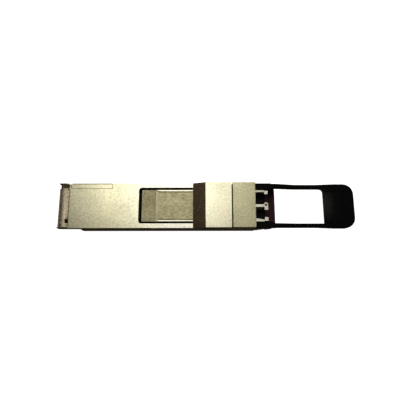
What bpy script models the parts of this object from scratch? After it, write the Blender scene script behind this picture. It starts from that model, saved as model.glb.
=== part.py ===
"""Pluggable optical transceiver module with a duplex receptacle and a pull-tab release.

Frame: +X runs from the electrical end to the pull tab, +Y is the module's left and +Z is up.
The origin is the centre of the bounding box, on the plane that the module lies on.
A die-cast top shell and bottom shell hold a circuit board, two optical packages and a thermal
stack. A separate head cover holds the receptacle block. A steel latch slider with a moulded pull
tab slides along +X against two return springs.
Lengths are written in millimetres and turned into metres where each mesh is made.
"""

import math

import bmesh
import bpy
from mathutils import Matrix, Vector

MM = 0.001

# Driving dimensions, mm
BODY_WIDTH = 18.35
BODY_HEIGHT = 8.5
HEAD_HEIGHT = 10.4
OVERALL_LENGTH = 119.7
BODY_LENGTH = 54.1            # electrical end to the foot of the ramp
RAMP_LENGTH = 5.1
HEAD_LENGTH = 20.0            # top of the ramp to the front of the head
SEAM_FROM_RAMP_TOP = 10.65
SEAM_WIDTH = 0.5
NOSE_LENGTH = 5.3             # how far the receptacle stands out of the head
PORT_PITCH = 6.25
PARTING_Z = 3.0
RELEASE_TRAVEL = 2.0
GAP = 0.1                     # clearance kept between neighbouring pieces
CASTING_WALL = 1.2

# Stations along the module, mm
END_X = -OVERALL_LENGTH / 2
TAB_END_X = OVERALL_LENGTH / 2
RAMP_FOOT_X = END_X + BODY_LENGTH
RAMP_TOP_X = RAMP_FOOT_X + RAMP_LENGTH
HEAD_FRONT_X = RAMP_TOP_X + HEAD_LENGTH
SEAM_X = RAMP_TOP_X + SEAM_FROM_RAMP_TOP
NOSE_FRONT_X = HEAD_FRONT_X + NOSE_LENGTH
SHELL_FRONT_X = SEAM_X - SEAM_WIDTH / 2
COVER_REAR_X = SEAM_X + SEAM_WIDTH / 2
TONGUE_REAR_X = END_X + 8.55  # the lower walls begin here, behind the edge connector
HALF_WIDTH = BODY_WIDTH / 2

# Electrical end: a curved lead-in between thin side ears, a corner pocket and a key groove, mm
LEAD_IN_LENGTH = 4.5
LEAD_IN_CREST_X = END_X + 2.1
LEAD_IN_CREST_Z = 8.12
LEAD_IN_DROP = 0.62           # from the crest to the rear edge
LEAD_IN_DIP = 0.11            # from the crest to the foot of the small step in front of it
EAR_THICKNESS = 0.4
EAR_BASE_Z = 5.2
POCKET_INNER_Y = 7.1
POCKET_FRONT_X = END_X + 4.0
KEY_GROOVE_X = (END_X + 4.85, END_X + 21.4)
KEY_GROOVE_INNER_Y = 7.07
KEY_GROOVE_DEPTH = 0.25
KEY_LINE_WIDTH = 0.18         # the finer, deeper line that runs around the groove
KEY_LINE_DEPTH = 0.55

# Inside of the housing, mm
ROOF_Z = BODY_HEIGHT - CASTING_WALL
HEAD_ROOF_Z = HEAD_HEIGHT - CASTING_WALL
FLOOR_Z = 1.2
CAVITY_HALF = 8.0
HEAD_CAVITY_HALF = 6.2
RECEPTACLE_HALF = 6.45
RECEPTACLE_FRONT_HALF = 6.2   # narrower lips in front of the latch windows
LIP_REAR_X = HEAD_FRONT_X + 3.85
CAVITY_FRONT_X = RAMP_FOOT_X + 1.85

# Circuit board and its edge connector, mm
BOARD_BOTTOM_Z = 3.6
BOARD_TOP_Z = 4.6
PADDLE_HALF = 8.21
BOARD_HALF = 7.7
BOARD_EDGE_X = END_X + 1.25
CONTACTS_PER_SIDE = 19
CONTACT_PITCH = 0.8
CONTACT_WIDTH = 0.54
CONTACT_LENGTH = 2.4
CHIP_BASE_Z = BOARD_TOP_Z + GAP

# Window in the top shell and the plate in it, mm
WINDOW_REAR_X = RAMP_FOOT_X - 21.85
WINDOW_HALF = 7.35
WINDOW_RADIUS = 1.2
PLATE_REAR_X = WINDOW_REAR_X + 1.2
PLATE_FRONT_X = RAMP_FOOT_X + 1.45
PLATE_HALF = 6.5
PLATE_STEP_X = PLATE_REAR_X + 5.5
PLATE_LOW_Z = 7.85
PLATE_TOP_Z = 8.15
PLATE_BASE_Z = 6.3

# Optical axis and ports, mm
PORT_Y = PORT_PITCH / 2
PORT_Z = 3.6
PORT_HALF = 2.35
PORT_BACK_X = NOSE_FRONT_X - 9.3
NOSE_BASE_Z = 0.75
NOSE_TOP_Z = 7.8

# Latch slider and its grooves, mm
GROOVE_DEPTH_Y = 8.5
GROOVE_Z = (3.3, 6.3)
ARM_INNER_Y = 8.6
ARM_OUTER_Y = 8.95
ARM_Z = (3.5, 6.1)
ARM_REAR_X = RAMP_FOOT_X - 21.85
YOKE_X = (HEAD_FRONT_X + 0.25, HEAD_FRONT_X + 1.45)
YOKE_Z = (0.1, 0.45)
LEG_FRONT_X = HEAD_FRONT_X + 4.05
LEG_FRONT_Z = 3.2             # where the sloped lower edge of the leg meets its front edge
WEDGE_LENGTH = 2.3
SPRING_POCKET_X = (RAMP_TOP_X - 1.15, RAMP_TOP_X + 7.65)
SPRING_Z = 4.8
SPRING_Y = 7.7
RIVET_X = HEAD_FRONT_X + 2.15
RIVET_Z = 3.4
LUG_X = (SPRING_POCKET_X[0] + 0.4, SPRING_POCKET_X[0] + 0.8)

# Pull tab, mm
ROOT_X = (HEAD_FRONT_X + 0.1, HEAD_FRONT_X + 6.55)
ROOT_INNER_Y = 6.6
ROOT_FRONT_Z = 5.6            # lower edge of the root where the strap leaves it
STRAP_THICKNESS = 2.0
STRAP_BASE_Z = 5.3
STRAP_RISE = 1.2              # extra height where the strap leaves the root
STRAP_LEVEL_X = HEAD_FRONT_X + 18.5
STRAP_INNER_Y = 7.25
LOOP_FRONT_X = HEAD_FRONT_X + 28.35
TAB_HALF = 9.1
TAB_CORNER = 4.2

# Screws: where they stand, and the radii, shank top and seat height of each size, mm
LARGE_SCREW_X = (END_X + 13.85, END_X + 28.35)
LARGE_SCREW_Y = 6.2
SMALL_SCREW_X = (SHELL_FRONT_X - 1.4, COVER_REAR_X + 4.55)
SMALL_SCREW_Y = 7.75
LARGE_SCREW = {"head": 1.4, "shank": 0.8, "top": 6.2, "seat": 0.85}
SMALL_SCREW = {"head": 0.9, "shank": 0.55, "top": 5.8, "seat": 0.6}
POST_RADIUS = 1.6
POST_BASE_Z = 2.0

SIDES = (("left", 1), ("right", -1))
OVERCUT = 1.0                 # how far a cutter runs past the surface that it opens


# Scene and materials

def clear_scene():
    for obj in list(bpy.data.objects):
        bpy.data.objects.remove(obj, do_unlink=True)


def new_collection(name):
    collection = bpy.data.collections.new(name)
    bpy.context.scene.collection.children.link(collection)
    return collection


clear_scene()
PARTS = new_collection("optical_transceiver_module")
CUTTERS = new_collection("cutters")


def material(name, color, roughness, metallic=0.0):
    mat = bpy.data.materials.new(name)
    mat.use_nodes = True
    shader = mat.node_tree.nodes["Principled BSDF"]
    shader.inputs["Base Color"].default_value = (*color, 1.0)
    shader.inputs["Roughness"].default_value = roughness
    shader.inputs["Metallic"].default_value = metallic
    return mat


def satin_nickel(name):
    return material(name, (0.66, 0.62, 0.52), 0.38, 1.0)


def spring_steel(name):
    return material(name, (0.55, 0.54, 0.52), 0.3, 1.0)


def black_plastic(name):
    return material(name, (0.012, 0.011, 0.012), 0.45)


def black_rubber(name):
    return material(name, (0.01, 0.01, 0.01), 0.8)


def gold_plate(name):
    return material(name, (0.83, 0.6, 0.24), 0.25, 1.0)


# Mesh helpers: every length that they take is in millimetres

def add_object(name, bm, location=(0, 0, 0), cutter=False):
    """Make an object from a bmesh in mm, with its origin at a location in mm."""
    bmesh.ops.recalc_face_normals(bm, faces=bm.faces)
    bmesh.ops.scale(bm, vec=(MM, MM, MM), verts=bm.verts)
    mesh = bpy.data.meshes.new(name)
    bm.to_mesh(mesh)
    bm.free()
    obj = bpy.data.objects.new(name, mesh)
    obj.location = Vector(location) * MM
    (CUTTERS if cutter else PARTS).objects.link(obj)
    if cutter:
        obj.hide_render = True
        obj.display_type = "WIRE"
    return obj


def block(name, x, y, z, cutter=False):
    """A box between (low, high) pairs, with its origin at its centre."""
    size = [pair[1] - pair[0] for pair in (x, y, z)]
    centre = [sum(pair) / 2 for pair in (x, y, z)]
    bm = bmesh.new()
    bmesh.ops.create_cube(bm, size=1.0)
    bmesh.ops.scale(bm, vec=size, verts=bm.verts)
    return add_object(name, bm, centre, cutter)


def mirrored(span, side):
    """A (low, high) pair of Y values on the left, moved to a side."""
    return tuple(sorted((span[0] * side, span[1] * side)))


def slab(outline, axis, span):
    """A bmesh of a flat outline extruded along an axis between two stations.

    The outline's two coordinates are the other two axes, in X, Y, Z order.
    """
    depth = span[1] - span[0]
    order = {"X": (1, 2, 0), "Y": (0, 2, 1), "Z": (0, 1, 2)}[axis]
    bm = bmesh.new()
    corners = []
    for first, second in outline:
        point = [0.0, 0.0, 0.0]
        point[order[0]], point[order[1]], point[order[2]] = first, second, span[0]
        corners.append(bm.verts.new(point))
    face = bm.faces.new(corners)
    raised = bmesh.ops.extrude_face_region(bm, geom=[face])["geom"]
    move = [0.0, 0.0, 0.0]
    move[order[2]] = depth
    moved = [item for item in raised if isinstance(item, bmesh.types.BMVert)]
    bmesh.ops.translate(bm, vec=move, verts=moved)
    return bm


def extrusion(name, outline, axis, span, cutter=False):
    return add_object(name, slab(outline, axis, span), cutter=cutter)


def cylinder(name, axis, centre, radius, span, segments=16, low_radius=None, cutter=False):
    """A closed cylinder along an axis; centre gives its two other coordinates.

    With a low_radius it is a cone whose low end has that radius.
    """
    turn = {"X": Matrix.Rotation(math.pi / 2, 4, "Y"),
            "Y": Matrix.Rotation(-math.pi / 2, 4, "X"),
            "Z": Matrix.Identity(4)}[axis]
    location = list(centre)
    location.insert("XYZ".index(axis), sum(span) / 2)
    bm = bmesh.new()
    bmesh.ops.create_cone(bm, cap_ends=True, segments=segments, radius1=low_radius or radius,
                          radius2=radius, depth=span[1] - span[0])
    bmesh.ops.rotate(bm, matrix=turn, verts=bm.verts)
    obj = add_object(name, bm, location, cutter)
    smooth(obj)
    return obj


def turned(name, profile, location, turn, steps=20, closed=True):
    """A turned piece: (radius, height) points, top to bottom on the outer side."""
    bm = bmesh.new()
    verts = [bm.verts.new((radius, 0.0, height)) for radius, height in profile]
    for start, end in zip(verts, verts[1:]):
        bm.edges.new((start, end))
    if closed:
        bm.edges.new((verts[-1], verts[0]))
    obj = add_object(name, bm, location)
    obj.rotation_euler = turn
    screw = obj.modifiers.new("turn", "SCREW")
    screw.steps = steps
    screw.render_steps = steps
    screw.use_merge_vertices = True
    screw.merge_threshold = 0.00001
    screw.use_smooth_shade = True
    return obj


def smooth(obj, angle=35):
    obj.data.shade_smooth()
    obj.data.set_sharp_from_angle(angle=math.radians(angle))


def boolean(obj, other, operation):
    modifier = obj.modifiers.new(f"{operation.lower()}_{other.name}"[:60], "BOOLEAN")
    modifier.operation = operation
    modifier.solver = "EXACT"
    modifier.object = other


def cut(obj, *cutters):
    for cutter in cutters:
        boolean(obj, cutter, "DIFFERENCE")


def join(obj, *others):
    for other in others:
        boolean(obj, other, "UNION")


def bevel(obj, width, segments=1, angle=40):
    modifier = obj.modifiers.new("edges", "BEVEL")
    modifier.width = width * MM
    modifier.segments = segments
    modifier.limit_method = "ANGLE"
    modifier.angle_limit = math.radians(angle)


def finish(obj, mat):
    obj.data.materials.append(mat)
    return obj


def arc(centre, radius, start, end, steps=4):
    """Points on an arc, with angles in degrees."""
    points = []
    for step in range(steps + 1):
        angle = math.radians(start + (end - start) * step / steps)
        points.append((centre[0] + radius * math.cos(angle), centre[1] + radius * math.sin(angle)))
    return points


def rounded_rectangle(x, y, radius, steps=4):
    corners = ((x[1], y[1], 0), (x[0], y[1], 90), (x[0], y[0], 180), (x[1], y[0], 270))
    points = []
    for corner_x, corner_y, start in corners:
        centre = (corner_x - radius * (1 if corner_x == x[1] else -1),
                  corner_y - radius * (1 if corner_y == y[1] else -1))
        points += arc(centre, radius, start, start + 90, steps)
    return points


def smoothstep(value, start, end):
    t = min(max((value - start) / (end - start), 0.0), 1.0)
    return t * t * (3 - 2 * t)


# Housing

def arm_groove_cutters(prefix, x):
    cutters = []
    for name, side in SIDES:
        y = mirrored((GROOVE_DEPTH_Y, HALF_WIDTH + OVERCUT), side)
        cutters.append(block(f"{prefix}_groove_{name}", x, y, GROOVE_Z, cutter=True))
    return cutters


def lead_in_outline():
    """Side view of what is cut away above the lead-in, which rises in a curve to a low crest."""
    reach = LEAD_IN_CREST_X - END_X
    steps = 6
    points = []
    for step in range(-1, steps + 1):
        t = step / steps
        points.append((END_X + reach * t, LEAD_IN_CREST_Z - LEAD_IN_DROP * (1 - t) ** 3))
    front_x = END_X + LEAD_IN_LENGTH
    above = BODY_HEIGHT + OVERCUT
    return points + [(front_x, LEAD_IN_CREST_Z - LEAD_IN_DIP), (front_x, above), (points[0][0], above)]


def sloped_pocket(name, outline, rear, front):
    """A cutter over a plan outline, with a floor that runs straight through two (x, z) points."""
    bm = slab(outline, "Z", (0.0, BODY_HEIGHT + OVERCUT))
    rise = (front[1] - rear[1]) / (front[0] - rear[0])
    for vert in bm.verts:
        if vert.co.z < OVERCUT:
            vert.co.z = rear[1] + (vert.co.x - rear[0]) * rise
    return add_object(name, bm, cutter=True)


def ear_top_cutters():
    """Both ear tops slope down towards -Y."""
    ear_inner, outer, above = HALF_WIDTH - EAR_THICKNESS, HALF_WIDTH + OVERCUT, BODY_HEIGHT + OVERCUT
    slope, margin, top_z = 0.47, 0.4, BODY_HEIGHT - 0.03
    left = [(ear_inner - margin, top_z - (EAR_THICKNESS + margin) * slope),
            (outer, top_z + OVERCUT * slope), (outer, above), (ear_inner - margin, above)]
    right = [(-ear_inner + margin, top_z + margin * slope),
             (-outer, top_z - (EAR_THICKNESS + OVERCUT) * slope), (-outer, above),
             (-ear_inner + margin, above)]
    return [extrusion("ear_top_left", left, "X", (END_X - OVERCUT, POCKET_FRONT_X - 0.9), cutter=True),
            extrusion("ear_top_right", right, "X",
                      (END_X - OVERCUT, END_X + LEAD_IN_LENGTH - 0.3), cutter=True)]


def nose_cutters():
    """The curved lead-in between the side ears, the hollow under it, its pocket and holes."""
    front_x = END_X + LEAD_IN_LENGTH
    hollow = [(END_X + 0.65, EAR_BASE_Z - OVERCUT), (END_X + 0.65, EAR_BASE_Z + 1.3),
              (front_x - 0.25, ROOF_Z), (TONGUE_REAR_X + 1.1, ROOF_Z),
              (TONGUE_REAR_X + 1.1, EAR_BASE_Z - OVERCUT)]
    ear_inner = HALF_WIDTH - EAR_THICKNESS
    through = (EAR_BASE_Z - OVERCUT, BODY_HEIGHT + OVERCUT)
    pocket = rounded_rectangle((END_X - 2.0, POCKET_FRONT_X), (POCKET_INNER_Y, ear_inner), 0.8)
    notch = [(END_X + 3.6, HALF_WIDTH + OVERCUT), (END_X + 4.2, 7.35), (END_X + 5.0, 7.35),
             (END_X + 5.0, HALF_WIDTH + OVERCUT)]
    return [
        extrusion("lead_in_curve", lead_in_outline(), "Y", (-ear_inner, ear_inner), cutter=True),
        extrusion("lead_in_hollow", hollow, "Y", (-6.9, 6.9), cutter=True),
        sloped_pocket("corner_pocket", pocket, (END_X, 6.35), (POCKET_FRONT_X, 7.7)),
        sloped_pocket("corner_notch", notch, (END_X + 3.9, 8.3), (END_X + 4.85, 8.06)),
        block("vent_right", (END_X + 2.85, END_X + 4.25), (-6.98, -5.36), through, cutter=True),
        block("vent_left", (END_X + 3.5, END_X + 4.15), (6.25, 6.85), through, cutter=True),
        *ear_top_cutters(),
        *key_groove_cutters(),
    ]


def key_groove_cutters():
    """A shallow step along the left edge, with a fine line along its two inner sides."""
    rear_x, front_x = KEY_GROOVE_X
    inner, outer, above = KEY_GROOVE_INNER_Y, HALF_WIDTH + OVERCUT, BODY_HEIGHT + OVERCUT
    lap = 0.05
    line = [(rear_x + lap, inner - KEY_LINE_WIDTH), (front_x + KEY_LINE_WIDTH, inner - KEY_LINE_WIDTH),
            (front_x + KEY_LINE_WIDTH, outer), (front_x - lap, outer), (front_x - lap, inner + lap),
            (rear_x + lap, inner + lap)]
    return [
        block("key_groove", (rear_x, front_x), (inner, outer), (BODY_HEIGHT - KEY_GROOVE_DEPTH, above),
              cutter=True),
        extrusion("key_line", line, "Z", (BODY_HEIGHT - KEY_LINE_DEPTH, above), cutter=True),
    ]


def window_cutters():
    opening = rounded_rectangle((WINDOW_REAR_X, RAMP_FOOT_X + WINDOW_RADIUS),
                                (-WINDOW_HALF, WINDOW_HALF), WINDOW_RADIUS)
    opening = [(min(x, RAMP_FOOT_X), y) for x, y in opening]
    opening = [point for point in opening if abs(point[0] - RAMP_FOOT_X) > 0.001]
    opening += [(RAMP_FOOT_X, -WINDOW_HALF), (RAMP_FOOT_X, WINDOW_HALF)]
    return [
        extrusion("window", opening, "Z", (7.0, 9.5), cutter=True),
        block("window_under_ramp", (RAMP_FOOT_X - 0.75, RAMP_FOOT_X + 2.55),
              (-WINDOW_HALF, WINDOW_HALF), (7.0, BODY_HEIGHT - 0.1), cutter=True),
    ]


def latch_pocket_cutters():
    cutters = []
    for name, side in SIDES:
        pocket_x = (ARM_REAR_X - 1.0, ARM_REAR_X + WEDGE_LENGTH + RELEASE_TRAVEL + 0.4)
        y = mirrored((8.35, HALF_WIDTH + OVERCUT), side)
        cutters.append(block(f"latch_pocket_{name}", pocket_x, y, (3.15, 6.6), cutter=True))
        spring_y = mirrored((6.75, GROOVE_DEPTH_Y + OVERCUT), side)
        spring_z = (SPRING_Z - 0.9, SPRING_Z + 0.9)
        cutters.append(block(f"spring_pocket_{name}", SPRING_POCKET_X, spring_y, spring_z, cutter=True))
    return cutters


def make_top_shell():
    side_view = [
        (END_X, EAR_BASE_Z), (TONGUE_REAR_X, EAR_BASE_Z), (TONGUE_REAR_X, PARTING_Z),
        (SHELL_FRONT_X, PARTING_Z), (SHELL_FRONT_X, HEAD_HEIGHT), (RAMP_TOP_X, HEAD_HEIGHT),
        (RAMP_FOOT_X, BODY_HEIGHT), (END_X, BODY_HEIGHT),
    ]
    shell = extrusion("top_shell", side_view, "Y", (-HALF_WIDTH, HALF_WIDTH))
    below = PARTING_Z - OVERCUT
    head_y = (-HEAD_CAVITY_HALF, HEAD_CAVITY_HALF)
    cut(
        shell,
        block("body_cavity", (TONGUE_REAR_X - OVERCUT, CAVITY_FRONT_X), (-CAVITY_HALF, CAVITY_HALF),
              (below, ROOF_Z), cutter=True),
        block("neck_cavity", (CAVITY_FRONT_X - 0.1, RAMP_FOOT_X + 3.65), head_y,
              (below, ROOF_Z), cutter=True),
        block("head_cavity", (RAMP_FOOT_X + 3.55, SHELL_FRONT_X + OVERCUT), head_y,
              (below, HEAD_ROOF_Z), cutter=True),
        *nose_cutters(),
        *window_cutters(),
        *arm_groove_cutters("shell", (ARM_REAR_X - 1.0, SHELL_FRONT_X + OVERCUT)),
        *latch_pocket_cutters(),
    )
    for name, side in SIDES:
        for index, x in enumerate(LARGE_SCREW_X):
            y = LARGE_SCREW_Y * side
            post = cylinder(f"post_{name}_{index}", "Z", (x, y), POST_RADIUS,
                            (POST_BASE_Z, ROOF_Z + 0.3), cutter=True)
            hole = cylinder(f"post_hole_{name}_{index}", "Z", (x, y), LARGE_SCREW["shank"] + 0.05,
                            (POST_BASE_Z - OVERCUT, LARGE_SCREW["top"] + GAP), cutter=True)
            join(shell, post)
            cut(shell, hole)
        hole = cylinder(f"shell_screw_hole_{name}", "Z", (SMALL_SCREW_X[0], SMALL_SCREW_Y * side),
                        SMALL_SCREW["shank"] + 0.05, (below, SMALL_SCREW["top"] + GAP), cutter=True)
        cut(shell, hole)
    return finish(shell, satin_nickel("top_shell"))


def board_rails():
    """Ledges along both sides of the tray, broken where the screw posts stand."""
    rear, front = LARGE_SCREW_X
    reach = POST_RADIUS + 0.5
    runs = ((END_X + 9.25, rear - reach), (rear + reach, front - reach),
            (front + reach, RAMP_FOOT_X - 2.5))
    rails = []
    for name, side in SIDES:
        for index, run in enumerate(runs):
            rails.append(block(f"rail_{name}_{index}", run, mirrored((6.9, CAVITY_HALF), side),
                               (FLOOR_Z - 0.2, BOARD_BOTTOM_Z - GAP), cutter=True))
    return rails


def make_bottom_shell():
    rear_x = TONGUE_REAR_X - 0.2
    top_z = PARTING_Z - GAP
    side_view = [(rear_x, 0.35), (rear_x + 0.35, 0.0), (HEAD_FRONT_X, 0.0), (HEAD_FRONT_X, top_z),
                 (rear_x, top_z)]
    tray = extrusion("bottom_shell", side_view, "Y", (-HALF_WIDTH, HALF_WIDTH))
    above = PARTING_Z + OVERCUT
    inner = CAVITY_HALF - GAP
    cut(
        tray,
        block("tray_cavity", (rear_x + 1.0, CAVITY_FRONT_X), (-inner, inner), (FLOOR_Z, above),
              cutter=True),
        block("tray_neck", (CAVITY_FRONT_X - 0.1, COVER_REAR_X + 0.15),
              (-HEAD_CAVITY_HALF, HEAD_CAVITY_HALF), (FLOOR_Z, above), cutter=True),
        block("tray_mouth", (COVER_REAR_X + 0.05, HEAD_FRONT_X + OVERCUT),
              (-RECEPTACLE_HALF - GAP, RECEPTACLE_HALF + GAP), (NOSE_BASE_Z - GAP, above), cutter=True),
    )
    ledge = block("board_ledge", (rear_x, rear_x + 1.0), (-7.8, 7.8),
                  (FLOOR_Z, BOARD_BOTTOM_Z - GAP), cutter=True)
    join(tray, ledge, *board_rails())
    for name, side in SIDES:
        for index, x in enumerate(LARGE_SCREW_X):
            centre = (x, LARGE_SCREW_Y * side)
            boss = cylinder(f"boss_{name}_{index}", "Z", centre, POST_RADIUS,
                            (FLOOR_Z - 0.2, POST_BASE_Z - GAP), cutter=True)
            join(tray, boss)
            add_screw_holes(tray, f"large_{name}_{index}", centre, LARGE_SCREW, above)
        for index, x in enumerate(SMALL_SCREW_X):
            centre = (x, SMALL_SCREW_Y * side)
            add_screw_holes(tray, f"small_{name}_{index}", centre, SMALL_SCREW, above)
    return finish(tray, satin_nickel("bottom_shell"))


def add_screw_holes(tray, name, centre, screw, top):
    seat = cylinder(f"seat_{name}", "Z", centre, screw["head"] + 0.1, (-OVERCUT, screw["seat"] + GAP),
                    cutter=True)
    shaft = cylinder(f"shaft_{name}", "Z", centre, screw["shank"] + 0.1, (-OVERCUT, top), 16,
                     cutter=True)
    cut(tray, seat, shaft)


def make_head_cover():
    side_view = [(COVER_REAR_X, PARTING_Z), (HEAD_FRONT_X, PARTING_Z), (HEAD_FRONT_X, HEAD_HEIGHT - 0.2),
                 (HEAD_FRONT_X - 0.2, HEAD_HEIGHT), (COVER_REAR_X, HEAD_HEIGHT)]
    cover = extrusion("head_cover", side_view, "Y", (-HALF_WIDTH, HALF_WIDTH))
    half = RECEPTACLE_HALF + GAP
    below = PARTING_Z - OVERCUT
    cut(
        cover,
        block("cover_cavity", (COVER_REAR_X - OVERCUT, HEAD_FRONT_X - 0.75), (-half, half),
              (below, HEAD_ROOF_Z), cutter=True),
        block("cover_mouth", (HEAD_FRONT_X - OVERCUT, HEAD_FRONT_X + OVERCUT), (-half, half),
              (below, NOSE_TOP_Z + GAP), cutter=True),
        *arm_groove_cutters("cover", (COVER_REAR_X - OVERCUT, HEAD_FRONT_X + OVERCUT)),
    )
    for name, side in SIDES:
        hole = cylinder(f"cover_screw_hole_{name}", "Z", (SMALL_SCREW_X[1], SMALL_SCREW_Y * side),
                        SMALL_SCREW["shank"] + 0.05, (below, SMALL_SCREW["top"] + GAP), cutter=True)
        cut(cover, hole)
    return finish(cover, satin_nickel("head_cover"))


def make_seam_gasket():
    outer, inner = 8.4, 6.8
    outline = [(-outer, PARTING_Z + GAP), (-outer, HEAD_HEIGHT - 0.35), (outer, HEAD_HEIGHT - 0.35),
               (outer, PARTING_Z + GAP), (inner, PARTING_Z + GAP), (inner, HEAD_ROOF_Z + 0.2),
               (-inner, HEAD_ROOF_Z + 0.2), (-inner, PARTING_Z + GAP)]
    gasket = extrusion("seam_gasket", outline, "X", (SHELL_FRONT_X + GAP, COVER_REAR_X - GAP))
    return finish(gasket, black_rubber("seam_gasket"))


def make_screws():
    groups = (("housing_screw", LARGE_SCREW_X, LARGE_SCREW_Y, LARGE_SCREW),
              ("head_screw", SMALL_SCREW_X, SMALL_SCREW_Y, SMALL_SCREW))
    for group, stations, y, size in groups:
        number = 0
        for x in stations:
            for _, side in SIDES:
                number += 1
                make_screw(f"{group}_{number}", (x, y * side), size)


def make_screw(name, centre, size):
    """A pan-head screw that enters from below, with a hexagonal socket."""
    low = 0.1
    profile = [(0.0, size["top"]), (size["shank"], size["top"] - 0.1), (size["shank"], size["seat"]),
               (size["head"], size["seat"]), (size["head"], low + 0.15), (size["head"] - 0.15, low),
               (0.0, low)]
    screw = turned(name, profile, (*centre, 0.0), (0, 0, 0), steps=16, closed=False)
    depth = (size["seat"] - low) * 0.6
    socket = cylinder(f"{name}_socket", "Z", centre, size["head"] * 0.5, (low - OVERCUT, low + depth), 6,
                      cutter=True)
    cut(screw, socket)
    finish(screw, spring_steel(name))


# Thermal stack in the window

def make_heat_spreader():
    """A stepped plate that fills the window, with a flange caught below the roof."""
    side_view = [(PLATE_REAR_X, PLATE_BASE_Z + 0.3), (PLATE_FRONT_X, PLATE_BASE_Z + 0.3),
                 (PLATE_FRONT_X, PLATE_TOP_Z), (PLATE_STEP_X, PLATE_TOP_Z),
                 (PLATE_STEP_X - 0.15, PLATE_LOW_Z), (PLATE_REAR_X, PLATE_LOW_Z)]
    plate = extrusion("heat_spreader", side_view, "Y", (-PLATE_HALF, PLATE_HALF))
    flange = block("spreader_flange", (PLATE_REAR_X - 2.3, CAVITY_FRONT_X - GAP), (-7.8, 7.8),
                   (PLATE_BASE_Z, ROOF_Z - GAP), cutter=True)
    label_bed = block("label_bed", (PLATE_STEP_X + 0.6, PLATE_FRONT_X + OVERCUT), (-5.85, 5.85),
                      (PLATE_TOP_Z - 0.2, PLATE_TOP_Z + OVERCUT), cutter=True)
    join(plate, flange)
    cut(plate, label_bed)
    return finish(plate, satin_nickel("heat_spreader"))


def make_window_gasket():
    outer = rounded_rectangle((WINDOW_REAR_X + GAP, RAMP_FOOT_X + 2.45),
                              (-WINDOW_HALF + GAP, WINDOW_HALF - GAP), WINDOW_RADIUS - GAP)
    gasket = extrusion("window_gasket", outer, "Z", (ROOF_Z, ROOF_Z + 0.4))
    hole = block("window_gasket_hole", (PLATE_REAR_X - GAP, PLATE_FRONT_X + GAP),
                 (-PLATE_HALF - GAP, PLATE_HALF + GAP), (ROOF_Z - OVERCUT, ROOF_Z + OVERCUT), cutter=True)
    cut(gasket, hole)
    return finish(gasket, black_rubber("window_gasket"))


def make_label():
    outline = rounded_rectangle((PLATE_STEP_X + 0.75, PLATE_FRONT_X - 0.3), (-5.5, 5.5), 0.5)
    bed_z = PLATE_TOP_Z - 0.2
    label = extrusion("blank_label", outline, "Z", (bed_z + 0.03, bed_z + 0.12))
    return finish(label, material("blank_label", (0.6, 0.58, 0.5), 0.5, 0.6))


def make_thermal_pads():
    pad = block("spreader_thermal_pad", (RAMP_FOOT_X - 15.6, RAMP_FOOT_X - 6.0), (-6.6, 6.6), (5.7, 6.2))
    finish(pad, material("spreader_thermal_pad", (0.45, 0.5, 0.62), 0.9))
    for name, side in (("transmitter", 1), ("receiver", -1)):
        y = mirrored((0.7, 5.5), side)
        pad = block(f"{name}_thermal_pad", (RAMP_TOP_X + 1.65, RAMP_TOP_X + 9.0), y,
                    (7.5, HEAD_ROOF_Z - GAP))
        finish(pad, material(f"{name}_thermal_pad", (0.45, 0.5, 0.62), 0.9))


# Circuit board and what is soldered to it

def board_outline():
    wide_end = TONGUE_REAR_X - 0.7
    front_x = RAMP_FOOT_X + 4.75
    shoulder_x = RAMP_FOOT_X - 0.75
    notch = POST_RADIUS + 0.3
    left = [(BOARD_EDGE_X, PADDLE_HALF - 0.5), (BOARD_EDGE_X + 0.5, PADDLE_HALF),
            (wide_end, PADDLE_HALF), (wide_end, BOARD_HALF)]
    for x in LARGE_SCREW_X:
        reach = math.degrees(math.asin((BOARD_HALF - LARGE_SCREW_Y) / notch))
        left += arc((x, LARGE_SCREW_Y), notch, 180 - reach, 360 + reach, 10)
    left += [(shoulder_x, BOARD_HALF), (shoulder_x, 6.0), (front_x, 6.0)]
    return left + [(x, -y) for x, y in reversed(left)]


def make_circuit_board():
    board = extrusion("circuit_board", board_outline(), "Z", (BOARD_BOTTOM_Z, BOARD_TOP_Z))
    return finish(board, material("circuit_board", (0.02, 0.12, 0.05), 0.4))


def contact_comb_outline():
    """Edge fingers at an even pitch, held together by a narrow plating bar."""
    tip_x = BOARD_EDGE_X + 0.3
    root_x = tip_x + CONTACT_LENGTH
    half_row = CONTACT_PITCH * (CONTACTS_PER_SIDE - 1) / 2
    points = []
    for index in range(CONTACTS_PER_SIDE):
        centre = half_row - index * CONTACT_PITCH
        edges = (centre + CONTACT_WIDTH / 2, centre - CONTACT_WIDTH / 2)
        points += [(root_x, edges[0]), (tip_x, edges[0]), (tip_x, edges[1]), (root_x, edges[1])]
    bar_y = half_row + CONTACT_WIDTH / 2
    return points[1:-1] + [(root_x + 0.25, -bar_y), (root_x + 0.25, bar_y)]


def make_edge_contacts():
    rows = (("edge_contacts_top", BOARD_TOP_Z + 0.03), ("edge_contacts_bottom", BOARD_BOTTOM_Z - 0.09))
    for name, base in rows:
        comb = extrusion(name, contact_comb_outline(), "Z", (base, base + 0.06))
        finish(comb, gold_plate(name))


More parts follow.
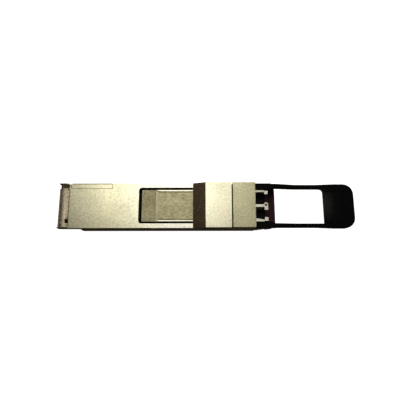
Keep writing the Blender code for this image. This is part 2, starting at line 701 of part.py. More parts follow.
def make_chips():
    """Square packages as (name, x, y, half size, height)."""
    chips = (("transmit_retimer", RAMP_FOOT_X - 13.0, 3.5, 2.5, 0.9),
             ("receive_retimer", RAMP_FOOT_X - 13.0, -3.5, 2.5, 0.9),
             ("laser_driver", RAMP_FOOT_X - 2.6, 3.2, 1.5, 0.8),
             ("microcontroller", END_X + 18.5, 0.0, 2.5, 0.85))
    for name, x, y, half, height in chips:
        chip = block(name, (x - half, x + half), (y - half, y + half),
                     (CHIP_BASE_Z, CHIP_BASE_Z + height))
        bevel(chip, 0.1)
        finish(chip, material(name, (0.02, 0.02, 0.022), 0.55))
    for number, y in enumerate((4.6, -4.6), start=1):
        inductor = block(f"power_inductor_{number}", (END_X + 21.6, END_X + 24.0), (y - 1.0, y + 1.0),
                         (CHIP_BASE_Z, CHIP_BASE_Z + 1.2))
        bevel(inductor, 0.15)
        finish(inductor, material(f"power_inductor_{number}", (0.1, 0.1, 0.11), 0.5))
    for number in range(4):
        x = RAMP_FOOT_X - 18.4
        y = -4.5 + 3.0 * number
        capacitor = block(f"capacitor_{number + 1}", (x - 0.5, x + 0.5), (y - 0.3, y + 0.3),
                          (CHIP_BASE_Z, CHIP_BASE_Z + 0.5))
        finish(capacitor, material(f"capacitor_{number + 1}", (0.42, 0.3, 0.2), 0.5))


def make_flex(name, side):
    """A thin flexible circuit that climbs from the board to an optical package."""
    start_x, end_x = RAMP_FOOT_X + 1.25, RAMP_TOP_X + 1.0
    low_z, rise, half_thickness = BOARD_TOP_Z + 0.2, 1.3, 0.06
    steps = 10
    centreline = []
    for step in range(steps + 1):
        x = start_x + (end_x - start_x) * step / steps
        centreline.append((x, low_z + rise * smoothstep(x, start_x + 1.5, end_x)))
    outline = [(x, z - half_thickness) for x, z in centreline]
    outline += [(x, z + half_thickness) for x, z in reversed(centreline)]
    flex = extrusion(f"{name}_flex", outline, "Y", mirrored((1.0, 5.2), side))
    finish(flex, material(f"{name}_flex", (0.55, 0.25, 0.06), 0.4))


# Optics

def make_optics():
    along_x = (0, math.pi / 2, 0)
    for name, side in (("transmitter", 1), ("receiver", -1)):
        axis_y = PORT_Y * side
        rear_x, front_x = RAMP_TOP_X + 1.15, SHELL_FRONT_X - 0.85
        package = block(f"{name}_package", (rear_x, front_x), mirrored((0.35, 5.9), side), (1.4, 7.4))
        bevel(package, 0.3, 2)
        finish(package, gold_plate(f"{name}_package"))

        flange, tube_end = front_x + GAP, NOSE_FRONT_X - 5.0
        bore_back = flange + 2.0
        profile = [(1.37, tube_end), (1.47, tube_end - 0.1), (1.47, flange + 1.3), (2.3, flange + 1.3),
                   (2.3, flange), (0.5, flange), (0.5, bore_back), (0.95, bore_back),
                   (0.95, tube_end - 0.15), (1.1, tube_end)]
        barrel = turned(f"{name}_barrel", profile, (0, axis_y, PORT_Z), along_x)
        finish(barrel, spring_steel(f"{name}_barrel"))

        sleeve_profile = [(0.85, tube_end - 0.9), (0.85, bore_back + GAP), (0.72, bore_back + GAP),
                          (0.72, tube_end - 0.9)]
        sleeve = turned(f"{name}_sleeve", sleeve_profile, (0, axis_y, PORT_Z), along_x)
        finish(sleeve, material(f"{name}_sleeve", (0.85, 0.84, 0.8), 0.25))

        stub = cylinder(f"{name}_fibre_stub", "X", (axis_y, PORT_Z), 0.62,
                        (bore_back + GAP, bore_back + 3.2), 20)
        finish(stub, material(f"{name}_fibre_stub", (0.9, 0.89, 0.85), 0.2))
        make_flex(name, side)


def make_port_shield():
    """A thin steel plate around the barrels that screens the receptacle from the optics."""
    plate = block("port_shield", (COVER_REAR_X + 0.15, COVER_REAR_X + 0.55), (-6.3, 6.3),
                  (NOSE_BASE_Z + 0.05, HEAD_ROOF_Z - 0.15))
    for name, side in SIDES:
        hole = cylinder(f"shield_hole_{name}", "X", (PORT_Y * side, PORT_Z), 1.65,
                        (COVER_REAR_X - OVERCUT, COVER_REAR_X + 2), cutter=True)
        cut(plate, hole)
    return finish(plate, spring_steel("port_shield"))


def make_receptacle():
    """Two ports side by side, each with a latch channel that is open at the top."""
    block_x = (COVER_REAR_X + 0.65, HEAD_FRONT_X - 0.85)
    half = (-RECEPTACLE_HALF, RECEPTACLE_HALF)
    receptacle = block("lc_receptacle", block_x, half, (NOSE_BASE_Z, HEAD_ROOF_Z - GAP))
    nose = block("receptacle_nose", (block_x[1] - 0.5, NOSE_FRONT_X), half, (NOSE_BASE_Z, NOSE_TOP_Z),
                 cutter=True)
    join(receptacle, nose)
    port_top = PORT_Z + 2.3
    low, high, ahead = port_top - 0.1, NOSE_TOP_Z + OVERCUT, NOSE_FRONT_X + OVERCUT
    for name, side in SIDES:
        centre = PORT_Y * side
        port_y = (centre - PORT_HALF, centre + PORT_HALF)
        cut(
            receptacle,
            block(f"port_{name}", (PORT_BACK_X, ahead), port_y, (PORT_Z - 2.3, port_top), cutter=True),
            block(f"latch_channel_{name}", (PORT_BACK_X, HEAD_FRONT_X), (centre - 2.25, centre + 2.25),
                  (low, NOSE_TOP_Z - 0.5), cutter=True),
            cylinder(f"barrel_bore_{name}", "X", (centre, PORT_Z), 1.6,
                     (block_x[0] - OVERCUT, PORT_BACK_X + OVERCUT), cutter=True),
        )
        lip_y = mirrored((RECEPTACLE_FRONT_HALF, RECEPTACLE_HALF + OVERCUT), side)
        cut(receptacle, block(f"lip_step_{name}", (LIP_REAR_X, ahead), lip_y,
                              (NOSE_BASE_Z - OVERCUT, NOSE_TOP_Z + OVERCUT), cutter=True))
    rear = HEAD_FRONT_X - 0.1
    window_left = [(rear, 0.6), (LIP_REAR_X, 0.6), (LIP_REAR_X, 5.8), (rear, 5.6)]
    window_right = [(rear, -5.1), (LIP_REAR_X, -5.7), (LIP_REAR_X, -0.5), (rear, -0.5)]
    mouth_left = [(LIP_REAR_X - 0.5, 0.9), (LIP_REAR_X + 0.55, 1.4), (NOSE_FRONT_X - 0.55, 1.4),
                  (ahead, 0.0), (ahead, 4.8), (LIP_REAR_X - 0.5, 4.8)]
    mouth_right = [(LIP_REAR_X - 0.5, -4.7), (ahead, -4.7), (ahead, -1.7), (LIP_REAR_X - 0.5, -1.7)]
    cut(
        receptacle,
        extrusion("latch_window_left", window_left, "Z", (low, high), cutter=True),
        extrusion("latch_window_right", window_right, "Z", (low, high), cutter=True),
        extrusion("latch_mouth_left", mouth_left, "Z", (low, high), cutter=True),
        extrusion("latch_mouth_right", mouth_right, "Z", (low, high), cutter=True),
        cylinder("receptacle_dimple", "Z", (NOSE_FRONT_X - 0.85, 0.3), 0.6,
                 (NOSE_TOP_Z - 0.7, NOSE_TOP_Z + 0.05), low_radius=0.3, cutter=True),
    )
    return finish(receptacle, satin_nickel("lc_receptacle"))


# Release: steel slider, moulded tab, rivets and return springs

def release_axis():
    """The empty that the sliding pieces hang on; it marks the line they slide along."""
    axis = bpy.data.objects.new("release_slide_axis", None)
    axis.location = Vector((HEAD_FRONT_X, 0, SPRING_Z)) * MM
    PARTS.objects.link(axis)
    return axis


def hang_on(axis, obj):
    obj.parent = axis
    obj.matrix_parent_inverse = Matrix.Translation(-axis.location)


def make_latch_slider(axis):
    """A bent steel yoke: a narrow strap under the receptacle and an arm along each side."""
    slider = block("latch_slider", YOKE_X, (-ARM_OUTER_Y, ARM_OUTER_Y), YOKE_Z)
    for name, side in SIDES:
        arm_y = mirrored((ARM_INNER_Y, ARM_OUTER_Y), side)
        leg_view = [(YOKE_X[0], YOKE_Z[0]), (YOKE_X[1], YOKE_Z[0]), (YOKE_X[1], YOKE_Z[1]),
                    (LEG_FRONT_X, LEG_FRONT_Z), (LEG_FRONT_X, ARM_Z[1]), (YOKE_X[0], ARM_Z[1])]
        leg = extrusion(f"slider_leg_{name}", leg_view, "Y", arm_y, cutter=True)
        arm = block(f"slider_arm_{name}", (ARM_REAR_X, LEG_FRONT_X), arm_y, ARM_Z, cutter=True)
        lug = block(f"slider_lug_{name}", LUG_X, mirrored((7.0, ARM_INNER_Y + 0.1), side),
                    (SPRING_Z - 0.6, SPRING_Z + 0.6), cutter=True)
        wedge_outline = [(ARM_REAR_X, ARM_OUTER_Y - 0.1), (ARM_REAR_X, ARM_OUTER_Y),
                         (ARM_REAR_X + 0.8, HALF_WIDTH - 0.03), (ARM_REAR_X + 1.5, HALF_WIDTH - 0.03),
                         (ARM_REAR_X + WEDGE_LENGTH, ARM_OUTER_Y),
                         (ARM_REAR_X + WEDGE_LENGTH, ARM_OUTER_Y - 0.1)]
        wedge_outline = [(x, y * side) for x, y in wedge_outline]
        wedge = extrusion(f"slider_wedge_{name}", wedge_outline, "Z", ARM_Z, cutter=True)
        hole = cylinder(f"slider_hole_{name}", "Y", (RIVET_X, RIVET_Z), 0.55,
                        mirrored((ARM_INNER_Y - OVERCUT, ARM_OUTER_Y + OVERCUT), side), cutter=True)
        join(slider, leg, arm, lug, wedge)
        cut(slider, hole)
    hang_on(axis, slider)
    return finish(slider, spring_steel("latch_slider"))


def strap_half_width(x):
    """Outer half width of the strap: a slight waist between its root and its grip."""
    waist = 8.8
    flare = (TAB_HALF - waist) * smoothstep(x, HEAD_FRONT_X + 24, HEAD_FRONT_X + 33)
    root = (9.0 - waist) * (1 - smoothstep(x, ROOT_X[1], STRAP_LEVEL_X))
    return waist + flare + root


def strap_outline():
    """Plan view of the loop: two arms and a grip plate with round corners."""
    rear_x = ROOT_X[1] - 1.3
    steps = 8
    corner_x = TAB_END_X - TAB_CORNER
    edge = [rear_x + (corner_x - rear_x) * step / steps for step in range(steps)]
    outer_left = [(x, strap_half_width(x)) for x in edge]
    corner = (corner_x, TAB_HALF - TAB_CORNER)
    outer = outer_left + arc(corner, TAB_CORNER, 90, 0, 6)
    outer += [(x, -y) for x, y in reversed(outer)]
    inner = [(rear_x, -STRAP_INNER_Y)]
    inner += arc((LOOP_FRONT_X - 0.4, -STRAP_INNER_Y + 0.4), 0.4, 270, 360, 3)
    inner += arc((LOOP_FRONT_X - 1.6, STRAP_INNER_Y - 1.6), 1.6, 0, 90, 5)
    inner += [(rear_x, STRAP_INNER_Y)]
    return outer + inner


def make_strap():
    """The flat loop, bent down from the root's top to the level of the grip."""
    bm = slab(strap_outline(), "Z", (STRAP_BASE_Z, STRAP_BASE_Z + STRAP_THICKNESS))
    bends = 6
    for step in range(1, bends):
        x = ROOT_X[1] + (STRAP_LEVEL_X - ROOT_X[1]) * step / bends
        geometry = bm.verts[:] + bm.edges[:] + bm.faces[:]
        bmesh.ops.bisect_plane(bm, geom=geometry, plane_co=(x, 0, 0), plane_no=(1, 0, 0))
    for vert in bm.verts:
        vert.co.z += STRAP_RISE * (1 - smoothstep(vert.co.x, ROOT_X[1], STRAP_LEVEL_X))
    return add_object("pull_tab", bm)


def make_pull_tab(axis):
    tab = make_strap()
    low_z, bar_top = 0.1, 0.95
    bar_x = (NOSE_FRONT_X + 0.2, HEAD_FRONT_X + 9.3)
    wall_base = YOKE_Z[1] + GAP
    foot_x = YOKE_X[1] + 0.2
    top_z = BODY_HEIGHT
    inner_view = [(ROOT_X[0], wall_base), (foot_x, wall_base), (foot_x, low_z), (bar_x[1], low_z),
                  (bar_x[1], bar_top), (ROOT_X[1] + 1.2, 6.5), (ROOT_X[1], 7.0), (ROOT_X[1], top_z),
                  (ROOT_X[0], top_z)]
    outer_view = [(ROOT_X[0], wall_base), (foot_x, wall_base), (ROOT_X[1], ROOT_FRONT_Z),
                  (ROOT_X[1], top_z), (ROOT_X[0], top_z)]
    bar = block("tab_cross_bar", bar_x, (-8.0, 8.0), (low_z, bar_top), cutter=True)
    join(tab, bar)
    for name, side in SIDES:
        inner = extrusion(f"tab_inner_wall_{name}", inner_view, "Y", mirrored((ROOT_INNER_Y, 8.1), side),
                          cutter=True)
        outer = extrusion(f"tab_outer_wall_{name}", outer_view, "Y", mirrored((8.0, HALF_WIDTH), side),
                          cutter=True)
        join(tab, inner, outer)
    for name, side in SIDES:
        recess = block(f"tab_recess_{name}", (ROOT_X[0] - OVERCUT, LEG_FRONT_X + GAP),
                       mirrored((ARM_INNER_Y - GAP, HALF_WIDTH + OVERCUT), side),
                       (-OVERCUT, ARM_Z[1] + GAP), cutter=True)
        hole = cylinder(f"tab_rivet_hole_{name}", "Y", (RIVET_X, RIVET_Z), 0.5,
                        mirrored((7.3, HALF_WIDTH), side), cutter=True)
        cut(tab, recess, hole)
    hang_on(axis, tab)
    return finish(tab, black_plastic("pull_tab"))


def make_rivets(axis):
    """A headed pin on each side that fixes the slider to the moulded root."""
    for name, side in SIDES:
        outward = (-side * math.pi / 2, 0, 0)
        profile = [(0.0, HALF_WIDTH - 0.03), (0.8, HALF_WIDTH - 0.1), (0.8, ARM_OUTER_Y + 0.03),
                   (0.45, ARM_OUTER_Y + 0.03), (0.45, 7.4), (0.0, 7.4)]
        rivet = turned(f"tab_rivet_{name}", profile, (RIVET_X, 0, RIVET_Z), outward, steps=16,
                       closed=False)
        hang_on(axis, rivet)
        finish(rivet, spring_steel(f"tab_rivet_{name}"))


def make_return_springs():
    """Open coils between each slider lug and the front wall of its pocket."""
    turns, per_turn, coil_radius, wire_radius = 6, 10, 0.6, 0.13
    rear_x = LUG_X[1] + GAP + wire_radius
    front_x = SPRING_POCKET_X[1] - GAP - wire_radius
    for name, side in SIDES:
        curve = bpy.data.curves.new(f"return_spring_{name}", "CURVE")
        curve.dimensions = "3D"
        curve.bevel_depth = wire_radius * MM
        curve.bevel_resolution = 2
        curve.use_fill_caps = True
        spline = curve.splines.new("POLY")
        count = turns * per_turn + 1
        spline.points.add(count - 1)
        for index, point in enumerate(spline.points):
            angle = 2 * math.pi * index / per_turn
            x = rear_x + (front_x - rear_x) * index / (count - 1)
            place = (x, coil_radius * math.cos(angle), coil_radius * math.sin(angle))
            point.co = (*(value * MM for value in place), 1.0)
        spring = bpy.data.objects.new(f"return_spring_{name}", curve)
        spring.location = Vector((0, SPRING_Y * side, SPRING_Z)) * MM
        PARTS.objects.link(spring)
        finish(spring, spring_steel(f"return_spring_{name}"))


def main():
    make_top_shell()
    make_bottom_shell()
    make_head_cover()
    make_seam_gasket()
    make_screws()
    make_heat_spreader()
    make_window_gasket()
    make_label()
    make_thermal_pads()
    make_circuit_board()
    make_edge_contacts()
    make_chips()
    make_optics()
    make_port_shield()
    make_receptacle()
    axis = release_axis()
    make_latch_slider(axis)
    make_pull_tab(axis)
    make_rivets(axis)
    make_return_springs()


main()
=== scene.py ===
"""Looks of the optical transceiver module: finer shapes and materials around the fixed CAD frame."""

import math

import bmesh
import bpy
from mathutils import Matrix, Vector


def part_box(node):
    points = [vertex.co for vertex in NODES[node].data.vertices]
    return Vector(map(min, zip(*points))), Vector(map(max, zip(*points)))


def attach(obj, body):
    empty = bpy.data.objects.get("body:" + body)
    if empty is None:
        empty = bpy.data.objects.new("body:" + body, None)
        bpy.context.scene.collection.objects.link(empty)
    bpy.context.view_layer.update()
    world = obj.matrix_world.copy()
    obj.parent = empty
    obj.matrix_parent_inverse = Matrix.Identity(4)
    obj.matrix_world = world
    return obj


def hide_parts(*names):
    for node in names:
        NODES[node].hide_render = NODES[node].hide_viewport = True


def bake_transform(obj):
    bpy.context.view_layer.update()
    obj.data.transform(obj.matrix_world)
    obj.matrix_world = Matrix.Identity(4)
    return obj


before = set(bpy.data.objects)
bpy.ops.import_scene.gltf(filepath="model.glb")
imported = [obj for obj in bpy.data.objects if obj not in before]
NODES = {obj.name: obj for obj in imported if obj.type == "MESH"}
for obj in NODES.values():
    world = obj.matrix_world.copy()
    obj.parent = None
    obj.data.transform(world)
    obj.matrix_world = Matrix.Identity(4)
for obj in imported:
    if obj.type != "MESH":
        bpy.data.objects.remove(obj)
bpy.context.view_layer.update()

MM = 0.001
SIDES = (("left", 1), ("right", -1))


def box_of(node):
    """The low and high corners of a CAD node, in millimetres."""
    low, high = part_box(node)
    return low / MM, high / MM


def centre_line(node):
    """The (Y, Z) middle of a CAD node that lies along X, in millimetres."""
    low, high = box_of(node)
    return (low.y + high.y) / 2, (low.z + high.z) / 2


# Places that come from the CAD frame, millimetres
NOSE_LOW, NOSE_HIGH = box_of("lc_receptacle")
LABEL_LOW, LABEL_HIGH = box_of("blank_label")
PLATE_TOP = box_of("heat_spreader")[1].z
HEAD_FRONT = box_of("head_cover")[1].x

# Places that repeat values of the part's source, millimetres
BODY_TOP = 8.5
NOSE_TOP = 7.8
RAMP_FOOT, RAMP_TOP = -5.75, -0.65
TAB_TOP = 7.3                 # upper face of the grip
GRIP_X = 47.7                 # the opening between the strap's arms ends here and the grip begins
STRAP_BEND = (25.9, 37.85)    # where the strap comes down from its root to the grip's height
STRAP_RISE = 1.2

# Places where the looks change, millimetres
# painted shade: the step's foot, the line around the key groove and the rim on its floor are darkened
STEP_X = (-56.0, -55.45)      # foot of the small step in front of the lead-in
STEP_END_Y = 6.4
KEY_X = (-55.2, -38.2)        # reaches around the key groove and the finer line beside it
KEY_INNER_Y = 6.9
RIM_Y = 8.775                 # a dark rim on the floor of the key groove begins here
LABEL_START = 0.45            # the film begins this far inside its bed

TINT_SPAN = (-60.0, 20.0)     # the stretch along X, in millimetres, that the tints are spread over
FACING = 0.2                  # a face looks in a direction when its normal leans this far that way
ROUNDED_ANGLE = 32            # edges sharper than this many degrees are rounded


# Camera, floor and light

def add_camera():
    """The photo's view: nearly overhead from the right side of the module, close to it."""
    azimuth, elevation, roll = (math.radians(angle) for angle in (-2.82, 77.83, 2.72))
    distance = 0.15503
    target = Vector((-0.0009, 0.00013, BODY_TOP * MM))
    back = Vector((math.sin(azimuth) * math.cos(elevation), -math.cos(azimuth) * math.cos(elevation),
                   math.sin(elevation)))
    right = Vector((0, 0, 1)).cross(back).normalized()
    up = back.cross(right)
    rolled_right = right * math.cos(roll) + up * math.sin(roll)
    rolled_up = up * math.cos(roll) - right * math.sin(roll)
    camera_data = bpy.data.cameras.new("photo_camera")
    camera_data.sensor_width = 36.0
    camera_data.lens = 33.82
    camera_data.clip_start = 0.005
    camera = bpy.data.objects.new("photo_camera", camera_data)
    turn = Matrix((rolled_right, rolled_up, back)).transposed().to_4x4()
    camera.matrix_world = Matrix.Translation(target + back * distance) @ turn
    bpy.context.scene.collection.objects.link(camera)
    bpy.context.scene.camera = camera


def add_area_light(name, location, aim, size, power, color, turn=0.0):
    """A rectangular light; turn is the heading of its long side, in degrees from +X."""
    data = bpy.data.lights.new(name, "AREA")
    data.shape = "RECTANGLE"
    data.size, data.size_y = size
    data.energy = power
    data.color = color
    light = bpy.data.objects.new(name, data)
    back = (Vector(location) - Vector(aim)).normalized()
    heading = Vector((math.cos(math.radians(turn)), math.sin(math.radians(turn)), 0.0))
    side = (heading - back * heading.dot(back)).normalized()
    turned = Matrix((side, back.cross(side), back)).transposed().to_4x4()
    light.matrix_world = Matrix.Translation(location) @ turned
    bpy.context.scene.collection.objects.link(light)


def add_lights():
    """A warm key light, a small light for the receptacle's nose, and three fills further out."""
    add_area_light("key_light", (-0.0465, 0.106, 0.31), (-0.01, 0.0, 0.0), (0.184, 0.135), 0.1975,
                   (1.0, 0.975, 0.86), -14.0)
    add_area_light("nose_light", (0.092, 0.066, 0.31), (0.02, 0.0, 0.0), (0.04, 0.04), 0.010,
                   (1.0, 0.99, 0.93))
    add_area_light("back_fill", (0.06, 0.46, 0.30), (0, 0, 0), (0.5, 0.25), 0.5, (1.0, 0.95, 0.9))
    add_area_light("low_fill", (-0.26, 0.40, 0.05), (0, 0, 0.01), (0.3, 0.08), 0.3, (1.0, 0.96, 0.9))
    add_area_light("right_fill", (0.52, 0.10, 0.30), (0, 0, 0), (0.25, 0.4), 0.5, (1.0, 0.95, 0.9), 90.0)


def add_floor():
    """White paper that glows, and that the castings don't mirror."""
    bm = bmesh.new()
    bmesh.ops.create_grid(bm, x_segments=1, y_segments=1, size=3.0)
    mesh = bpy.data.meshes.new("floor")
    bm.to_mesh(mesh)
    bm.free()
    floor = bpy.data.objects.new("floor", mesh)
    bpy.context.scene.collection.objects.link(floor)
    mat, nodes, links, shader = new_material("floor_paper", (0.93, 0.93, 0.93), 0.9)
    grain = noise(nodes, links, 40.0, 2.0)
    mix_color(nodes, links, shader, grain, (0.92, 0.92, 0.92), (0.94, 0.94, 0.94))
    shader.inputs["Emission Color"].default_value = (1.0, 1.0, 1.0, 1.0)
    shader.inputs["Emission Strength"].default_value = 1.0
    mesh.materials.append(mat)
    floor.visible_glossy = False


def set_world():
    """A dim warm room: dark overhead and underfoot, with a soft pale band around the horizon."""
    world = bpy.data.worlds.new("room")
    bpy.context.scene.world = world
    world.use_nodes = True
    nodes, links = world.node_tree.nodes, world.node_tree.links
    coordinates = nodes.new("ShaderNodeTexCoord")
    split = nodes.new("ShaderNodeSeparateXYZ")
    height = nodes.new("ShaderNodeMapRange")
    height.inputs["From Min"].default_value = -1.0
    links.new(coordinates.outputs["Generated"], split.inputs["Vector"])
    links.new(split.outputs["Z"], height.inputs["Value"])
    dark, glow = (0.016, 0.010, 0.006), (0.40, 0.38, 0.345)
    bands = ((0.30, dark), (0.42, glow), (0.60, glow), (0.70, dark))
    links.new(ramp(nodes, links, height.outputs["Result"], bands),
              nodes["Background"].inputs["Color"])
    bpy.context.scene.view_settings.view_transform = "Standard"


# Material helpers

def new_material(name, color, roughness, metallic=0.0, specular=0.5):
    """A plain material, with its nodes, links and shader ready for more."""
    mat = bpy.data.materials.new(name)
    mat.use_nodes = True
    nodes, links = mat.node_tree.nodes, mat.node_tree.links
    shader = nodes["Principled BSDF"]
    shader.inputs["Base Color"].default_value = (*color, 1.0)
    shader.inputs["Roughness"].default_value = roughness
    shader.inputs["Metallic"].default_value = metallic
    shader.inputs["Specular IOR Level"].default_value = specular
    return mat, nodes, links, shader


def noise(nodes, links, scale, detail=2.0, stretch=(1, 1, 1), roughness=0.5):
    """A noise factor in object space, with its scale per metre."""
    coordinates = nodes.new("ShaderNodeTexCoord")
    mapping = nodes.new("ShaderNodeMapping")
    mapping.inputs["Scale"].default_value = stretch
    texture = nodes.new("ShaderNodeTexNoise")
    texture.inputs["Scale"].default_value = scale
    texture.inputs["Detail"].default_value = detail
    texture.inputs["Roughness"].default_value = roughness
    links.new(coordinates.outputs["Object"], mapping.inputs["Vector"])
    links.new(mapping.outputs["Vector"], texture.inputs["Vector"])
    return texture.outputs["Fac"]


def ramp(nodes, links, factor, stops):
    """A colour ramp over a factor, with (position, colour) stops."""
    node = nodes.new("ShaderNodeValToRGB")
    elements = node.color_ramp.elements
    while len(elements) < len(stops):
        elements.new(0.5)
    for element, (position, color) in zip(elements, stops):
        element.position = position
        element.color = (*color, 1.0)
    links.new(factor, node.inputs["Fac"])
    return node.outputs["Color"]


def mix_color(nodes, links, shader, factor, dark, light):
    """Colour a shader between a dark and a light tone."""
    links.new(ramp(nodes, links, factor, ((0.35, dark), (0.65, light))), shader.inputs["Base Color"])


def vary_roughness(nodes, links, shader, factor, low, high):
    """Spread the middle of a noise factor over a range of roughness."""
    span = nodes.new("ShaderNodeMapRange")
    span.inputs["From Min"].default_value = 0.3
    span.inputs["From Max"].default_value = 0.7
    span.inputs["To Min"].default_value = low
    span.inputs["To Max"].default_value = high
    links.new(factor, span.inputs["Value"])
    links.new(span.outputs["Result"], shader.inputs["Roughness"])


def add_bump(nodes, links, shader, factor, depth):
    """Let a factor stand out of the surface by a depth in metres."""
    bump = nodes.new("ShaderNodeBump")
    bump.inputs["Strength"].default_value = 1.0
    bump.inputs["Distance"].default_value = depth
    links.new(factor, bump.inputs["Height"])
    links.new(bump.outputs["Normal"], shader.inputs["Normal"])


def scaled(color, factor):
    """A colour made darker or lighter, with no channel above full."""
    return tuple(min(value * factor, 1.0) for value in color)


def multiplied(nodes, links, color, tint):
    """The product of two colours."""
    mix = nodes.new("ShaderNodeMix")
    mix.data_type = "RGBA"
    mix.blend_type = "MULTIPLY"
    mix.inputs["Factor"].default_value = 1.0
    links.new(color, mix.inputs["A"])
    links.new(tint, mix.inputs["B"])
    return mix.outputs["Result"]


def tinted(nodes, links, color, scale, warm, cool):
    """Multiply a colour by soft patches of a warm and a cool tint."""
    patches = noise(nodes, links, scale, 2.0)
    return multiplied(nodes, links, color, ramp(nodes, links, patches, ((0.40, warm), (0.60, cool))))


def tinted_along(nodes, links, color, tints):
    """Multiply a colour by tints that change along X, given as (station in millimetres, tint)."""
    start, end = TINT_SPAN
    coordinates = nodes.new("ShaderNodeTexCoord")
    split = nodes.new("ShaderNodeSeparateXYZ")
    along = nodes.new("ShaderNodeMapRange")
    along.inputs["From Min"].default_value = start * MM
    along.inputs["From Max"].default_value = end * MM
    links.new(coordinates.outputs["Object"], split.inputs["Vector"])
    links.new(split.outputs["X"], along.inputs["Value"])
    stops = [((station - start) / (end - start), tint) for station, tint in tints]
    return multiplied(nodes, links, color, ramp(nodes, links, along.outputs["Result"], stops))


# Materials

def cast_metal(name, color, roughness, speckle, clouding=1.0, tints=()):
    """Plated die casting: a fine sparkling grain over soft cloudy patches, tinted along X if asked."""
    mat, nodes, links, shader = new_material(name, color, roughness, 1.0)
    grain = noise(nodes, links, 1450.0, 3.0, roughness=0.65)
    stops = ((0.34, scaled(color, 1 - 0.36 * speckle)), (0.50, color),
             (0.66, scaled(color, 1 + 0.28 * speckle)))
    flecks = ramp(nodes, links, grain, stops)
    color_out = tinted(nodes, links, flecks, 620.0, (1.0, 0.965, 0.93), (0.985, 1.0, 0.97))
    if tints:
        color_out = tinted_along(nodes, links, color_out, tints)
    links.new(color_out, shader.inputs["Base Color"])
    clouds = noise(nodes, links, 160.0, 3.0)
    vary_roughness(nodes, links, shader, clouds, roughness - 0.05 * clouding,
                   roughness + 0.06 * clouding)
    add_bump(nodes, links, shader, grain, 0.000014 * speckle)
    return mat


def edge_with_painted_shade(name, color):
    """Rounded casting edges, a little smoother, in a colour darkened from the given one as painted shade
    along the edges.
    """
    mat, nodes, links, shader = new_material(name, scaled(color, 0.7), 0.34, 1.0)
    patches = noise(nodes, links, 1100.0, 2.0)
    mix_color(nodes, links, shader, patches, scaled(color, 0.5), scaled(color, 0.9))
    vary_roughness(nodes, links, shader, patches, 0.28, 0.42)
    return mat


def brushed_metal(name, color, roughness, along):
    """Rolled, milled or turned metal with fine parallel lines along X or Y."""
    stretch = {"X": (0.03, 1, 1), "Y": (1, 0.03, 1)}[along]
    mat, nodes, links, shader = new_material(name, color, roughness, 1.0)
    lines = noise(nodes, links, 5200.0, 2.0, stretch)
    mix_color(nodes, links, shader, lines, scaled(color, 0.86), scaled(color, 1.1))
    vary_roughness(nodes, links, shader, lines, roughness - 0.06, roughness + 0.1)
    add_bump(nodes, links, shader, lines, 0.000004)
    return mat


def gold_plate(name, color):
    """Gold over nickel, with faint patches."""
    mat, nodes, links, shader = new_material(name, color, 0.25, 1.0)
    patches = noise(nodes, links, 700.0, 3.0)
    mix_color(nodes, links, shader, patches, scaled(color, 0.9), scaled(color, 1.08))
    vary_roughness(nodes, links, shader, patches, 0.2, 0.36)
    add_bump(nodes, links, shader, patches, 0.000004)
    return mat


def moulded_plastic(name, color, roughness, grain=3200.0, depth=0.000014, specular=0.5):
    """Polymer or another matt solid with a fine grain, such as a spark-eroded mould gives."""
    mat, nodes, links, shader = new_material(name, color, roughness, specular=specular)
    texture = noise(nodes, links, grain, 4.0, roughness=0.6)
    mix_color(nodes, links, shader, texture, scaled(color, 0.7), scaled(color, 1.4))
    clouds = noise(nodes, links, 260.0, 2.0)
    vary_roughness(nodes, links, shader, clouds, roughness - 0.06, roughness + 0.08)
    add_bump(nodes, links, shader, texture, depth)
    return mat


def plastic_with_painted_sheen(name, color, sheen):
    """The tab's black polymer, with a paler uneven spot painted where the thumb rests as a sheen."""
    mat, nodes, links, shader = new_material(name, color, 0.42, specular=0.07)
    coordinates = nodes.new("ShaderNodeTexCoord")
    mapping = nodes.new("ShaderNodeMapping")
    centre, reach = (GRIP_X + 0.5, 1.2, TAB_TOP - 0.4), (3.9, 7.4, 3.0)
    mapping.inputs["Scale"].default_value = [1.0 / (size * MM) for size in reach]
    mapping.inputs["Location"].default_value = [-place / size for place, size in zip(centre, reach)]
    spot = nodes.new("ShaderNodeTexGradient")
    spot.gradient_type = "SPHERICAL"
    texture = noise(nodes, links, 620.0, 3.0, roughness=0.6)
    uneven = nodes.new("ShaderNodeMath")
    uneven.operation = "MULTIPLY"
    links.new(coordinates.outputs["Object"], mapping.inputs["Vector"])
    links.new(mapping.outputs["Vector"], spot.inputs["Vector"])
    links.new(spot.outputs["Fac"], uneven.inputs[0])
    links.new(texture, uneven.inputs[1])
    links.new(ramp(nodes, links, uneven.outputs["Value"], ((0.0, color), (0.42, sheen))),
              shader.inputs["Base Color"])
    grain = noise(nodes, links, 3200.0, 4.0, roughness=0.6)
    vary_roughness(nodes, links, shader, texture, 0.36, 0.5)
    add_bump(nodes, links, shader, grain, 0.000014)
    return mat


def label_film(name, color):
    """Matt silver film with a woven look, lying slightly uneven on its bed."""
    mat, nodes, links, shader = new_material(name, color, 0.5, 0.9)
    across = noise(nodes, links, 1500.0, 2.0, (0.45, 1, 1))
    flecks = ramp(nodes, links, across, ((0.36, scaled(color, 0.78)), (0.5, color),
                                         (0.64, scaled(color, 1.2))))
    links.new(tinted(nodes, links, flecks, 480.0, (1.0, 0.95, 0.92), (0.98, 1.0, 0.96)),
              shader.inputs["Base Color"])
    waves = noise(nodes, links, 240.0, 2.0)
    vary_roughness(nodes, links, shader, waves, 0.45, 0.55)
    add_bump(nodes, links, shader, waves, 0.00003)
    return mat


